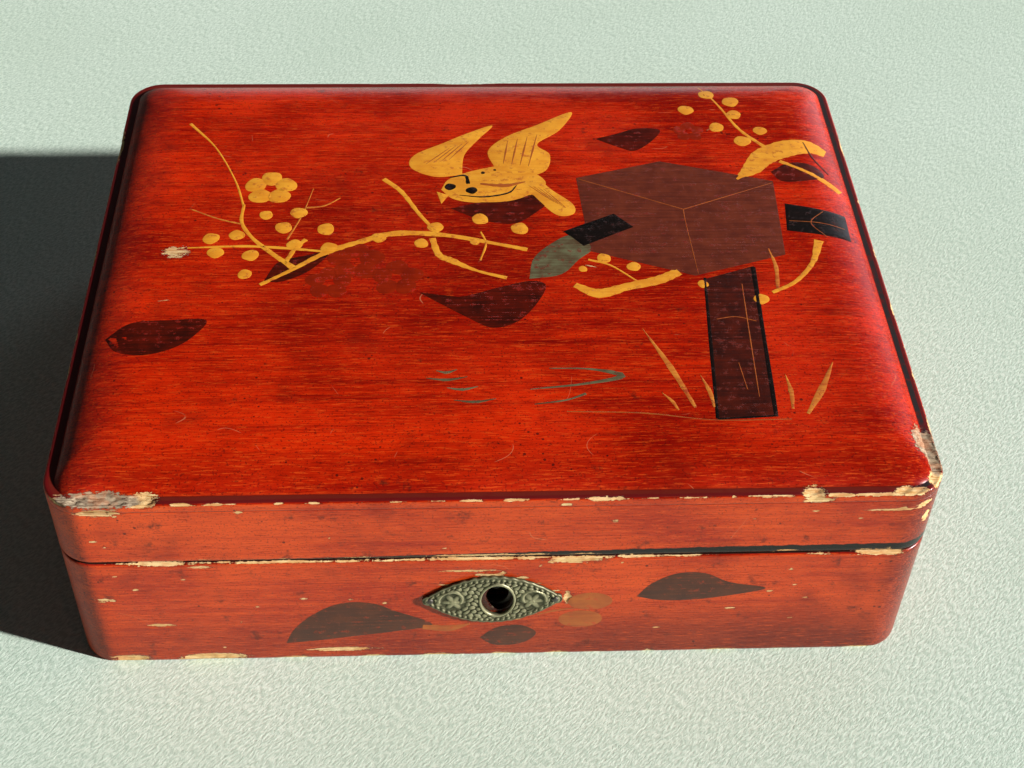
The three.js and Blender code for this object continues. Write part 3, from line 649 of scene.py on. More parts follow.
RED = lacquer()
BLACK = black_lacquer()
PEWTER = pewter()
BRASS = metal("aged_brass", rgb(196, 158, 88), rgb(96, 70, 34), 0.32)
IRON = metal("dark_iron", rgb(112, 106, 98), rgb(44, 38, 34), 0.42)
SILK = silk("gold_silk", rgb(176, 132, 66), rgb(218, 178, 104))
GOLD = painted("gold_paint", rgb(240, 166, 44), rgb(220, 136, 28), rgb(186, 92, 20), 0.5)
PALE_GOLD = painted("pale_gold_paint", rgb(216, 134, 44), rgb(182, 84, 22), rgb(150, 26, 3), 0.5)
BROWN = painted("brown_paint", rgb(82, 20, 4), rgb(44, 9, 3), rgb(104, 22, 4), 0.36)
SHADE = painted("shade_paint", rgb(92, 16, 2), rgb(50, 9, 2), rgb(134, 18, 1), 0.3)
FADED = painted("faded_paint", rgb(88, 38, 12), rgb(62, 24, 9), rgb(140, 46, 16), 0.42)
GHOST = painted("ghost_paint", rgb(150, 34, 3), rgb(124, 24, 2), rgb(180, 26, 1), 0.28)
OCHRE = painted("ochre_paint", rgb(176, 92, 28), rgb(150, 66, 20), rgb(180, 58, 18), 0.46)
BRONZE = painted("bronze_paint", rgb(114, 48, 29), rgb(88, 34, 22), rgb(118, 28, 8), 0.32)
INK = painted("black_paint", rgb(24, 12, 8), rgb(12, 8, 6), rgb(52, 10, 4), 0.3)
SILVER = painted("silver_paint", rgb(116, 116, 84), rgb(88, 62, 40), rgb(120, 34, 10), 0.42, 0.2)


# ---- Box walls and lid ----
def cut_with(obj, cutters):
    """Takes the cutters, meshes in millimetres, out of obj. Their attributes make the cut faces bare wood."""
    for verts, faces in cutters:
        mesh = bpy.data.meshes.new("cutter")
        mesh.from_pydata([[c * MM for c in v] for v in verts], [], faces)
        for key, value in (("wear", 2.0), ("grey", 0.5)):
            layer = mesh.attributes.new(key, "FLOAT", "POINT")
            layer.data.foreach_set("value", [value] * len(verts))
        tool = add_object("cutter", mesh)
        make_outward(tool)
        modifier = obj.modifiers.new("cut", "BOOLEAN")
        modifier.object = tool
        modifier.operation = "DIFFERENCE"
        modifier.solver = "EXACT"
        apply_modifiers(obj)
        bpy.data.objects.remove(tool)


def prism(outline, along, low, high):
    """A closed prism: a 2-D outline carried along one axis, 0 for X, 1 for Y or 2 for Z."""
    count = len(outline)
    verts = []
    for level in (low, high):
        for a, b in outline:
            point = [a, b]
            point.insert(along, level)
            verts.append(point)
    faces = [[i, (i + 1) % count, count + (i + 1) % count, count + i] for i in range(count)]
    faces += [list(range(count))[::-1], list(range(count, 2 * count))]
    return verts, faces


def oval(centre, half, steps=48):
    angles = np.linspace(0, 2 * math.pi, steps, endpoint=False)
    return [(centre[0] + half[0] * math.cos(a), centre[1] + half[1] * math.sin(a)) for a in angles]


def back_cutters(side):
    """What a back wall loses to the hinges: the long stop chamfer and the two hollows for the knuckles."""
    past = HINGE_Y + 6
    drop = (past - HINGE_Y) * math.tan(CHAMFER)
    chamfer = [(HINGE_Y, HINGE_Z), (past, HINGE_Z + side * drop), (past, HINGE_Z - side * 2)]
    cutters = [prism(chamfer, 0, -WIDTH, WIDTH)]
    for x in (-HINGE_X, HINGE_X):
        hollow = oval((HINGE_Y, HINGE_Z), (KNUCKLE_ROOM, KNUCKLE_ROOM), 24)
        cutters.append(prism(hollow, 0, x - HINGE_HALF, x + HINGE_HALF))
    return cutters


def wall_ring(name, low, high, open_top, body, nodes, cutters):
    """The four walls as one shell with lacquered edges: outer face, rims and inner face."""
    outer_low, outer_high = low + WALL_ROUND, high - WALL_ROUND
    outer = [(0, z) for z in np.linspace(outer_low, outer_high, max(3, int((high - low) / GRID)))]
    foot = reversed(edge_round(WALL_ROUND, outer_low, -1))
    head = edge_round(WALL_ROUND, outer_high, 1) if open_top else [(0, high - 0.4), (0, high)]
    profile = [(WALL, low), *foot, *outer, *head, (WALL - 0.3, high), (WALL, high - 0.3)]
    rows = []
    for inset, z in profile:
        if inset < WALL - 1:
            rows.append((ring(inset, CORNER - inset), z))
        else:
            xy = ring(0, CORNER)
            half = np.array([WIDTH / 2 - inset, DEPTH / 2 - inset])
            rows.append((np.clip(xy, -half, half), z))
    points = stack(rows)
    columns = len(STATIONS)
    outward = outwards(points, len(rows), columns)
    inset = np.repeat([p[0] for p in profile], columns)
    on_skin = (inset < WALL - 1)[:, None]
    moved, attributes = chipped(points, outward * on_skin, inset)
    faces = ring_faces(len(rows), columns, close_rows=True)
    obj = mesh_piece(name, moved, faces, RED, body, attributes=attributes)
    cut_with(obj, cutters)
    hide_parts(*nodes)


def crown_height(inset):
    """How high the lid's top stands above its arris at a distance in from the box's outline."""
    across = np.clip((np.asarray(inset, float) - LEDGE) / RUN, 0, 1)
    on_ellipse = np.sqrt(1 - ((1 - across) * math.cos(CROWN_FOOT)) ** 2)
    return RISE * (on_ellipse - math.sin(CROWN_FOOT)) / (1 - math.sin(CROWN_FOOT))


def top_z(x, y):
    """The lid's surface above a point, away from the corners."""
    inset = min(WIDTH / 2 - abs(x), DEPTH / 2 - abs(y))
    swell = max(0, 1 - (x / FLAT_X) ** 2) * max(0, 1 - (y / FLAT_Y) ** 2)
    return ARRIS + float(crown_height(inset)) + DOME * swell


def lid_board():
    """The lid's top board: its edge, the ledge, the crown and the slightly swollen middle."""
    rows = [(0, CORNER, BOARD_LOW + up) for up in (0, 0.5, 1, 1.6, 2.2)]
    rows += [(inset, CORNER - inset, z) for inset, z in edge_round(BOARD_ROUND, ARRIS - BOARD_ROUND, 1, 4)]
    rows += [(inset, CORNER - inset, ARRIS) for inset in (1.1, 1.6, 2.1, 2.6)]
    foot = len(rows)
    for angle in np.linspace(CROWN_FOOT, math.pi / 2, 26):
        across = 1 - math.cos(angle) / math.cos(CROWN_FOOT)
        radius = FOOT_CORNER + (TOP_CORNER - FOOT_CORNER) * across
        inset = LEDGE + RUN * across
        rows.append((inset, radius, ARRIS + float(crown_height(inset))))
    stacked = [(ring(inset, radius), z) for inset, radius, z in rows]
    insets = [row[0] for row in rows]
    rim = stacked[-1][0]
    for share in np.linspace(0, 1, 24)[1:]:
        stacked.append((rim * (1 - share), TOP))
        insets.append(LEDGE + RUN + FLAT_Y * share)
    points = stack(stacked)
    swell = np.clip(1 - (points[:, :2] / (FLAT_X, FLAT_Y)) ** 2, 0, 1).prod(axis=1)
    points[:, 2] += DOME * swell * (points[:, 2] > ARRIS + 1)
    columns = len(STATIONS)
    outward = outwards(points, len(stacked), columns)
    outward[-2 * columns:] = (0, 0, 1)
    moved, attributes = chipped(points, outward, np.repeat(insets, columns))
    moved[-columns:] = moved[-columns:].mean(axis=0)
    faces = ring_faces(len(stacked), columns)
    faces.append(list(range(columns))[::-1])
    obj = mesh_piece("lid_board", moved, faces, RED, "lid", attributes=attributes)
    fold = [all(v // columns == foot for v in edge.vertices) for edge in obj.data.edges]
    obj.data.attributes.new("sharp_edge", "BOOLEAN", "EDGE").data.foreach_set("value", fold)
    merge_close(obj)
    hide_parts("lid_top_board")


def build_box():
    walls = [f"{side}_wall" for side in ("front", "back", "left", "right")]
    keyway = prism(oval((0.7, KEY_Z + 0.5), (4, 6)), 1, FRONT - 3, FRONT + WALL + 1)
    half, foot, above = 16.3, 20, 60
    room = [(-half, foot), (half, foot), (half, above), (-half, above)]
    mortise = prism(room, 1, FRONT + 1.8, FRONT + WALL - 0.9)
    wall_ring("base_walls", 0, BASE_TOP - RIM_DROP, True, "base", [f"base_{w}" for w in walls],
              [keyway, mortise, *back_cutters(-1)])
    wall_ring("lid_walls", LID_BOTTOM + RIM_DROP, BOARD_LOW, False, "lid", [f"lid_{w}" for w in walls],
              back_cutters(1))
    lid_board()


# ---- Escutcheon ----
def pebbles(u, v):
    """The relief's ground: domes on a wavering, staggered grid."""
    pitch = 2.1
    row_pitch = 0.87 * pitch
    grid_u, grid_v = u + 0.4 * np.sin(1.1 * v + 2), v + 0.35 * np.sin(1.3 * u)
    row = np.round(grid_v / row_pitch)
    shift = (row % 2) * 0.5
    column = np.round(grid_u / pitch - shift) + shift
    gap = np.hypot(grid_u - column * pitch, grid_v - row * row_pitch)
    return 0.45 * np.sqrt(np.clip(1 - gap**2, 0, 1))


def add_rosette(height, u, v, side):
    """Adds a rosette at one side of the keyhole, and the scroll that curls over it, on a smooth patch."""
    eye_u, eye_v = side * 11.5, -0.6
    away = np.hypot(u - eye_u, v - eye_v)
    turn = np.arctan2(v - eye_v, u - eye_u)
    height = height * smoothstep(3.0, 5.0, away)
    petals = 2.9 + 0.9 * np.cos(6 * turn)
    height = np.maximum(height, 0.55 * np.sqrt(np.clip(1 - away / petals, 0, 1)))
    height = np.where(away < 0.8, 0.6, height)
    t = np.linspace(-0.2, 1.15 * math.pi, 30)
    scroll_u = eye_u + side * (4.2 - 0.5 * t) * np.cos(t)
    scroll_v = 0.4 + (4.4 - 0.4 * t) * np.sin(t)
    near = np.min(np.hypot(u[:, None] - scroll_u, v[:, None] - scroll_v), axis=1)
    return np.maximum(height, 0.6 * np.exp(-((near / 0.55) ** 2)))


def plate_relief(x, z):
    """How far the stamped relief stands up at points measured from the keyhole's middle."""
    u, v = x - PLATE_X, z
    height = pebbles(u, v)
    for side in (-1, 1):
        height = add_rosette(height, u, v, side)
    for side in (-1, 1):
        height = np.where(np.hypot(u - side * NAIL_X, v) < 1.6, 0.0, height)
    # Beads inside the edge, and a plain raised line outside them.
    edge = np.array([plate_height(share) for share in u / PLATE_HALF_X]) - np.abs(v)
    beads = 0.5 * (1 + np.cos(2 * math.pi * u / 1.6)) * np.exp(-(((edge - 1.3) / 0.55) ** 2))
    height = np.where(edge < 2.1, 0.05 + 0.5 * beads, height)
    height = np.where(edge < 0.6, 0.2, height)
    # The smooth rim round the keyhole.
    rim = np.hypot(x / KEYHOLE_HALF_X, z / KEYHOLE_HALF_Z) - 1
    raised = 0.6 * np.sqrt(np.clip(1 - ((rim - 0.07) / 0.09) ** 2, 0, 1))
    return np.where(rim < 0.19, np.maximum(raised, 0.02), height)


def build_escutcheon():
    """A stamped plate: rings of points from the keyhole out to a pointed oval, and a nail at either end."""
    steps = 420
    angles = np.linspace(0, 2 * math.pi, steps, endpoint=False)
    cos, sin = np.cos(angles), np.sin(angles)
    hole = np.column_stack([KEYHOLE_HALF_X * cos, KEYHOLE_HALF_Z * sin])
    shares = np.sign(cos) * np.abs(cos) ** 0.9
    outline_z = np.sign(sin) * [plate_height(share) for share in shares]
    outline = np.column_stack([shares * PLATE_HALF_X + PLATE_X, outline_z])

    def plate_ring(xz, height):
        return np.column_stack([xz[:, 0], FRONT - height, xz[:, 1] + KEY_Z])

    flat = np.zeros(steps)
    rings, reliefs = [plate_ring(hole, flat)], [flat]
    for outward in np.linspace(0, 1, 90):
        xz = hole * (1 - outward) + outline * outward
        reliefs.append(plate_relief(*xz.T))
        rings.append(plate_ring(xz, PLATE_SHEET + reliefs[-1]))
    rings.append(plate_ring(outline, flat))
    reliefs.append(flat)
    faces = [f[::-1] for f in ring_faces(len(rings), steps, close_rows=True)]
    plate = mesh_piece("escutcheon_plate", np.concatenate(rings), faces, PEWTER, "base",
                       {"relief": np.concatenate(reliefs)})
    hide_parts("escutcheon")
    for hand, side in [("left", -1), ("right", 1)]:
        build_nail(hand, PLATE_X + side * NAIL_X)


def build_nail(hand, x):
    """A round-headed nail: turned about the Y axis, its head a little out of true."""
    shank = [(0, 1.2), (0.45, 1.2), (0.45, 0)]
    head = [(1.1, 0), (1.12, -0.15), (0.95, -0.42), (0.6, -0.58), (0, -0.64)]
    profile = shank + head
    seat = FRONT - PLATE_SHEET - 0.06
    steps = 20
    verts = []
    for radius, y in profile:
        for i in range(steps):
            a = 2 * math.pi * i / steps
            reach = radius * (1 + 0.05 * math.sin(3 * a + x))
            verts.append((x + reach * math.cos(a), seat + y, KEY_Z + reach * math.sin(a)))
    nail = mesh_piece(f"escutcheon_nail_{hand}", verts, ring_faces(len(profile), steps), IRON, "base")
    merge_close(nail)
    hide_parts(f"escutcheon_{hand}_pin")


# ---- Painting: raised paint that follows the surface it lies on ----
class Paint:
    """Collects strokes and flat shapes of one colour, on the lid's top or on the front, as one mesh."""

    SINK = 0.25  # how far down each mark reaches into the surface, so that no gap shows under it

    def __init__(self, on_front=False):
        self.on_front = on_front
        self.verts = []
        self.faces = []

    def lift(self, x, y, height):
        """The point over (x, y) on the lid, or over (x, z) on the front, raised by height."""
        if self.on_front:
            return (x, FRONT - height, y)
        return (x, y, top_z(x, y) + height)

    def stroke(self, points, widths, height=0.045):
        """A brush stroke through points, whose width runs through widths from one end to the other."""
        path = smooth_line(points)
        start = len(self.verts)
        section = [(-1, -self.SINK), (-1, 0.25 * height), (-0.55, height), (0.55, height), (1, 0.25 * height),
                   (1, -self.SINK)]
        for i, (x, y) in enumerate(path):
            before, after = path[max(0, i - 1)], path[min(len(path) - 1, i + 1)]
            length = math.hypot(after[0] - before[0], after[1] - before[1]) or 1
            side_x, side_y = -(after[1] - before[1]) / length, (after[0] - before[0]) / length
            half = 0.5 * float(np.interp(i / (len(path) - 1), np.linspace(0, 1, len(widths)), widths))
            half += min(0.12 * half, 0.14) * math.sin(1.9 * i + x)
            for across, up in section:
                self.verts.append(self.lift(x + side_x * half * across, y + side_y * half * across, up))
        count = len(section)
        for i in range(len(path) - 1):
            a, b = start + i * count, start + (i + 1) * count
            for k in range(count):
                n = (k + 1) % count
                self.faces.append((a + k, a + n, b + n, b + k))
        self.faces.append([start + k for k in range(count)][::-1])
        self.faces.append([start + (len(path) - 1) * count + k for k in range(count)])

    def shape(self, outline, height=0.05, smooth=False, soften=0.3, rings=0):
        """A filled shape whose softened edge reaches full height at a distance of soften from its outline.

        rings are more loops inside it, so that a shape with no deep notch can follow a curved surface.
        """
        loop = smooth_line(list(outline) + [outline[0]])[:-1] if smooth else densify(outline)
        area = sum(a[0] * b[1] - b[0] * a[1] for a, b in zip(loop, loop[1:] + loop[:1], strict=True))
        if area < 0:
            loop = loop[::-1]
        inner = inset_loop(loop, soften)
        start, count = len(self.verts), len(loop)
        loops = [(loop, -self.SINK), (loop, 0.3 * height), (inner, height)]
        middle = np.mean(inner, axis=0)
        for i in range(1, rings + 1):
            shrink = 1 - i / (rings + 1)
            loops.append(([tuple(middle + (np.array(q) - middle) * shrink) for q in inner], height))
        for ring_points, up in loops:
            self.verts += [self.lift(x, y, up) for x, y in ring_points]
        for level in range(len(loops) - 1):
            for i in range(count):
                a, n = start + level * count, (i + 1) % count
                self.faces.append((a + i, a + n, a + count + n, a + count + i))
        self.faces.append([start + i for i in range(count)][::-1])
        self.faces.append([start + (len(loops) - 1) * count + i for i in range(count)])

    def dot(self, x, y, radius, height=0.05):
        """A round bud or dot, a little uneven."""
        self.shape([(x + radius * (1 + 0.08 * math.sin(2 * a + x)) * math.cos(a),
                     y + radius * (1 + 0.08 * math.sin(3 * a + y)) * math.sin(a))
                    for a in np.linspace(0, 2 * math.pi, 20, endpoint=False)], height)

    def finish(self, name, material, body):
        obj = mesh_piece(name, self.verts, self.faces, material, body)
        make_outward(obj)
        obj.data.set_sharp_from_angle(angle=math.radians(14))


def smooth_line(points, per_span=6):
    """A Catmull-Rom curve through points."""
    p = [np.array(q, float) for q in points]
    if len(p) == 2:
        return [tuple(p[0] + (p[1] - p[0]) * t) for t in np.linspace(0, 1, per_span + 1)]
    p = [2 * p[0] - p[1], *p, 2 * p[-1] - p[-2]]
    line = []
    for a, b, c, d in zip(p, p[1:], p[2:], p[3:], strict=False):
        for t in np.linspace(0, 1, per_span, endpoint=False):
            line.append(0.5 * (2 * b + (c - a) * t + (2 * a - 5 * b + 4 * c - d) * t**2
                               + (3 * b - a - 3 * c + d) * t**3))
    return [tuple(q) for q in [*line, p[-2]]]


def densify(outline, step=2.0):
    """The outline with extra points on its long sides, so that it can follow a curved surface."""
    loop = []
    for a, b in zip(outline, [*outline[1:], outline[0]], strict=True):
        count = max(1, round(math.dist(a, b) / step))
        loop += [(a[0] + (b[0] - a[0]) * i / count, a[1] + (b[1] - a[1]) * i / count) for i in range(count)]
    return loop


def inset_loop(loop, distance):
    """An anticlockwise loop moved inwards by distance."""
    moved = []
    for before, here, after in zip(loop[-1:] + loop[:-1], loop, loop[1:] + loop[:1], strict=True):
        length = math.hypot(after[0] - before[0], after[1] - before[1]) or 1
        inward = (-(after[1] - before[1]) / length, (after[0] - before[0]) / length)
        moved.append((here[0] + inward[0] * distance, here[1] + inward[1] * distance))
    return moved


def blossom(paint, x, y, size, turn=0.3, height=0.05):
    """Five round petals that touch one another about a centre."""
    for k in range(5):
        angle = turn + 2 * math.pi * k / 5
        paint.dot(x + 0.55 * size * math.cos(angle), y + 0.55 * size * math.sin(angle), 0.38 * size, height)


def paint_branches():
    """Plum branches: one across the left half, a broad one over the right edge and small sprays between."""
    gold, pale, brown = Paint(), Paint(), Paint()
    brown.shape([(-70, -14), (-66, -5), (-58, -2), (-50, 0), (-56, -9), (-64, -14)], 0.03, True)
    gold.stroke([(-71, -15.5), (-62, -9), (-52, -1), (-42, 4), (-30, 8.5), (-14, 7.5), (4, 2.5), (12, 0)],
                [1.4, 1.8, 2.6, 2.2, 2.6, 2.0, 1.4, 1.8])
    gold.stroke([(-61, -8), (-68, -1), (-75, 7), (-79, 15), (-79, 24)], [2.8, 1.6, 1.3, 1.2, 0.9])
    gold.stroke([(-64, -6), (-61, 2), (-58, 6)], [1.8, 1.3, 1.6])
    gold.stroke([(-79, 23), (-83, 37), (-91, 55), (-101, 69)], [0.8, 0.6, 0.5, 1.0])
    gold.stroke([(-95, 2.5), (-78, 3), (-66, 2), (-52, 0)], [0.6, 1.1, 1.2, 1.0])
    pale.stroke([(-96, 22), (-87, 17), (-79, 14)], [0.5, 0.7])
    pale.stroke([(-57, 32), (-60, 18), (-64, 6)], [0.3, 0.7])
    pale.stroke([(-59, 22), (-53, 23), (-48, 27)], [0.8, 0.6, 0.4])
    gold.stroke([(-34, 37), (-28, 30), (-22, 18), (-16, 8)], [1.8, 1.6, 1.3, 1.0])
    gold.stroke([(-18, 6), (-16, -2), (-12, -5), (-4, -10), (5, -13.5)], [2.0, 2.2, 2.6, 1.0, 1.5])
    gold.stroke([(-2.5, 9), (-1, 3), (-3, -5)], [0.6, 0.7, 0.6])
    gold.stroke([(78, 92), (84, 77), (89, 64), (97, 53)], [0.4, 0.8, 1.1, 1.5])
    gold.stroke([(84, 36), (90, 42), (95, 48.5), (103, 53), (111, 54.5), (117, 52)],
                [1.2, 6.5, 8.5, 9.0, 7.5, 4.0])
    gold.stroke([(100, 46), (110, 39), (118.5, 31)], [1.6, 1.9, 2.4])
    brown.stroke([(110, 57), (112, 48), (116, 40)], [0.5, 0.8, 0.5], 0.08)
    gold.stroke([(26, -17), (33, -21), (42, -18), (52, -15), (59, -11)], [2.2, 4.2, 3.2, 3.8, 3.4])
    gold.stroke([(46, -16), (38, -8), (31, -5)], [0.6, 0.7, 0.9])
    gold.stroke([(87, -21), (95, -16), (102, -7), (106, 4)], [1.3, 1.4, 1.6, 3.0])
    pale.stroke([(89, 0), (90, -9), (89, -19)], [0.5, 1.3, 1.1])
    blossom(gold, -71, 32.5, 9.5)
    for x, y in [
        (-71.5, 18.5), (-61, 19.5), (-65.5, 12), (-52, 11), (-88, 7), (-80, 8.5), (-86, 0), (-75, -1.5),
        (-61.5, 3.5), (-50.5, 1.5), (-76, -10.5), (-17, 11.5), (-21.5, 3.5), (-2.5, 15.5), (10, 10.5),
        (80, 86), (71.5, 76), (88, 81), (88, 73), (81, 65.5), (96, 63.5), (89, 57.5),
    ]:
        gold.dot(x, y, rng.uniform(2.2, 3.0))
    for x, y in [(-35, 6.5), (-4.5, 4), (29, -9.5), (36, -4.5), (45, -8.5), (66, -17), (83, -24)]:
        gold.dot(x, y, rng.uniform(1.2, 2.4))
    gold.finish("gold_branches", GOLD, "lid")
    pale.finish("pale_branches", PALE_GOLD, "lid")
    brown.finish("branch_shadows", SHADE, "lid")


def paint_bird():
    """A small gold bird in flight, with its wings raised and its tail spread."""
    gold, ink, line = Paint(), Paint(), Paint()
    gold.shape([(-15, 31), (-12, 37), (-2, 42), (9, 44), (18, 38), (19, 32), (9, 25), (-3, 24), (-11, 26)],
               0.05, True, 0.6)
    gold.shape([(-8, 39), (-17, 38), (-25, 43), (-24, 50), (-14, 57), (-5, 63), (3, 67), (-2, 59), (-7, 50)],
               0.05, True, 0.5)
    gold.shape([(3, 43), (1, 52), (7, 60), (18, 67), (31, 75), (26, 64), (18, 56), (22, 50), (20, 41),
                (12, 38)], 0.05, True, 0.5)
    gold.shape([(11, 35), (17, 36), (22, 30), (28, 23), (28, 18), (23, 17), (18, 23)], 0.05, True, 0.5)
    gold.shape([(-16.5, 30), (-12.5, 28), (-15, 23.5)], 0.05)
    for k in range(4):
        line.stroke([(-20 + 2.6 * k, 45 + 0.8 * k), (-12 + 2.2 * k, 54 + 1.2 * k)], [0.2, 0.6, 0.2], 0.07)
        line.stroke([(6 + 2.8 * k, 45 - 0.5 * k), (8 + 3.4 * k, 58 + 1.2 * k)], [0.2, 0.9, 0.2], 0.07)
        line.stroke([(14 + 1.6 * k, 33 - 0.6 * k), (22 + 1.2 * k, 24 - k)], [0.2, 0.5, 0.2], 0.07)
    line.stroke([(-2, 34), (6, 33), (13, 35)], [1.2, 2.6, 0.8], 0.065)
    ink.dot(-12, 32.5, 1.9, 0.09)
    ink.dot(-5, 30.5, 1.9, 0.09)
    ink.stroke([(-12, 37.5), (-7, 38.5), (-6, 34)], [0.5, 1.2, 1.6], 0.09)
    ink.stroke([(-9, 28), (-1, 27), (7, 29), (10, 33)], [0.4, 0.9, 0.9, 0.4], 0.09)
    ink.dot(-1, 40, 0.8, 0.09)
    ink.dot(3, 41.5, 0.6, 0.09)
    gold.finish("bird", GOLD, "lid")
    line.finish("bird_feather_lines", OCHRE, "lid")
    ink.finish("bird_markings", INK, "lid")


def paint_lantern():
    """A standing lantern with a six-sided roof, a dark panel either side, and grass and water at its foot."""
    roof, ink, stem, fine, blades, silver = (Paint() for _ in range(6))
    roof.shape([(30, 37), (59, 46), (96, 35), (94, -3), (64, -13), (32, -1)], 0.035, rings=3)
    ink.shape([(24, 9), (41, 18), (47, 11), (30, 1.5)], 0.06)
    ink.shape([(98, 23), (117.5, 18), (117, 5), (96.5, 9)], 0.05, rings=4)
    silver.shape([(12, -14), (14, -4), (21, 4), (27, 7), (33, 1), (28, -5), (22, -12)], 0.035, True, 0.6, 2)
    stem.shape([(67, -14.5), (83, -8.5), (80, -74), (62.5, -75)], 0.035, rings=2)
    ink.stroke([(66.8, -14), (62.8, -74.5)], [1.0, 1.2], 0.06)
    ink.stroke([(63, -74.6), (80, -73.6)], [0.8, 0.8], 0.06)
    ink.stroke([(82.6, -9), (79.6, -74)], [1.6, 1.4], 0.06)
    fine.stroke([(30.5, 36.5), (64, 20)], [0.3, 0.45], 0.06)
    fine.stroke([(64, 20), (95.5, 34)], [0.45, 0.3], 0.06)
    fine.stroke([(64, 20), (64, 13), (65, -12)], [0.45, 0.3, 0.2], 0.06)
    fine.stroke([(78, -17), (77, -40), (76, -66)], [0.3, 0.45, 0.3], 0.06)
    fine.stroke([(72, -52), (73, -63)], [0.3, 0.3], 0.06)
    fine.stroke([(68, -33), (74, -32), (80, -34)], [0.3, 0.35, 0.3], 0.06)
    fine.stroke([(98, 14), (108, 13), (116, 11)], [0.3, 0.35, 0.3], 0.06)
    fine.stroke([(110, 19), (105, 13), (109, 6)], [0.3, 0.4, 0.3], 0.06)
    fine.stroke([(20, -71), (42, -72), (62, -75), (84, -75)], [0.3, 0.5, 0.3, 0.4])
    silver.stroke([(16, -53.5), (28, -54), (37, -57), (26, -60), (10, -62)], [0.4, 0.7, 2.2, 0.9, 0.4])
    silver.stroke([(26, -64), (20, -66.5), (11, -68)], [0.8, 0.6, 0.4])
    for x, y, length in [(-20, -57, 12), (-14, -61, 9), (-17, -54, 6), (-12, -66, 12)]:
        silver.stroke([(x, y), (x + 0.5 * length, y - 0.8), (x + length, y + 0.4)], [0.3, 1.1, 0.3])
    for tip, foot, width in [
        ((45, -37), (57, -70), 1.9),
        ((60, -57), (62.5, -70), 1.4),
        ((48, -64), (52, -71), 1.1),
        ((85, -57), (85, -71), 1.5),
        ((100, -52), (89, -73), 2.3),
    ]:
        middle = (0.5 * (tip[0] + foot[0]) + 0.6, 0.5 * (tip[1] + foot[1]))
        blades.stroke([tip, middle, foot], [0.2, width, 0.5 * width])
    roof.finish("lantern_roof", BRONZE, "lid")
    ink.finish("lantern_panels", INK, "lid")
    stem.finish("lantern_stem", BROWN, "lid")
    fine.finish("lantern_lines", OCHRE, "lid")
    blades.finish("grass_blades", PALE_GOLD, "lid")
    silver.finish("mist_and_water", SILVER, "lid")


def paint_leaves():
    """Big dark leaves with faint blossoms beside them, on the lid and on the front of the base."""
    shade, ghost = Paint(), Paint()
    for outline in [
        [(-115, -38), (-108, -32), (-97, -31), (-86, -31), (-88, -37), (-94, -43), (-103, -46), (-111, -44)],
        [(-22, -20), (-10, -22), (2, -18), (12, -15), (17, -17), (14, -25), (8, -33), (0, -36), (-8, -31)],
        [(38, 59), (46, 62), (53, 65), (61, 64), (57, 57), (51, 52), (46, 54)],
        [(-12, 21), (0, 25), (12, 28), (21, 26), (15, 18), (8, 13), (-2, 15)],
        [(96, 40), (103, 45), (111, 44), (114, 38), (106, 35), (99, 35)],
    ]:
        shade.shape(outline, 0.03, True, rings=3)
    for x, y, size in [(-42, -5, 10), (-29, -13, 9), (-50, -15, 8), (71, 63, 6)]:
        blossom(ghost, x, y, size, height=0.025)
    shade.finish("lid_leaves", SHADE, "lid")
    ghost.finish("lid_faint_blossoms", GHOST, "lid")
    faded, ochre = Paint(on_front=True), Paint(on_front=True)
    for outline in [
        [(-63, 8), (-60, 15), (-54, 22), (-46, 27), (-37, 27), (-30, 23), (-19, 16), (-30, 13), (-42, 11),
         (-54, 9)],
        [(41, 28), (45, 34), (52, 38.5), (60, 38.5), (68, 34), (79, 31), (70, 28), (58, 26), (48, 26)],
        [(-5, 9), (0, 14), (7, 15), (12, 11), (8, 6), (0, 5)],
    ]:
        faded.shape(outline, 0.03, True)
    for petal in [(27.5, 26), (25, 17.5)]:
        ochre.shape(oval(petal, (6.6, 4.1), 20), 0.03)
    ochre.stroke([(12, 20), (18, 22), (24, 23)], [0.5, 0.9, 0.4])
    ochre.stroke([(-22, 15), (-14, 14), (-8, 16)], [2.5, 3.0, 0.6])
    faded.finish("front_leaves", FADED, "base")
    ochre.finish("front_petals", OCHRE, "base")


# ---- Soft pieces ----
def slab_faces(count_x, count_y):
    """The faces of a slab between two grids of points, joined round their borders."""
    faces = []
    total = count_x * count_y
    for i in range(count_x - 1):
        for j in range(count_y - 1):
            a = i * count_y + j
            faces.append((a, a + count_y, a + count_y + 1, a + 1))
            faces.append((total + a, total + a + 1, total + a + count_y + 1, total + a + count_y))
    border = [i * count_y for i in range(count_x)]
    border += [(count_x - 1) * count_y + j for j in range(1, count_y)]
    border += [i * count_y + count_y - 1 for i in range(count_x - 2, -1, -1)]
    border += range(count_y - 2, 0, -1)
    for a, b in zip(border, border[1:] + border[:1], strict=True):
        faces.append((a, total + a, total + b, b))
    return faces


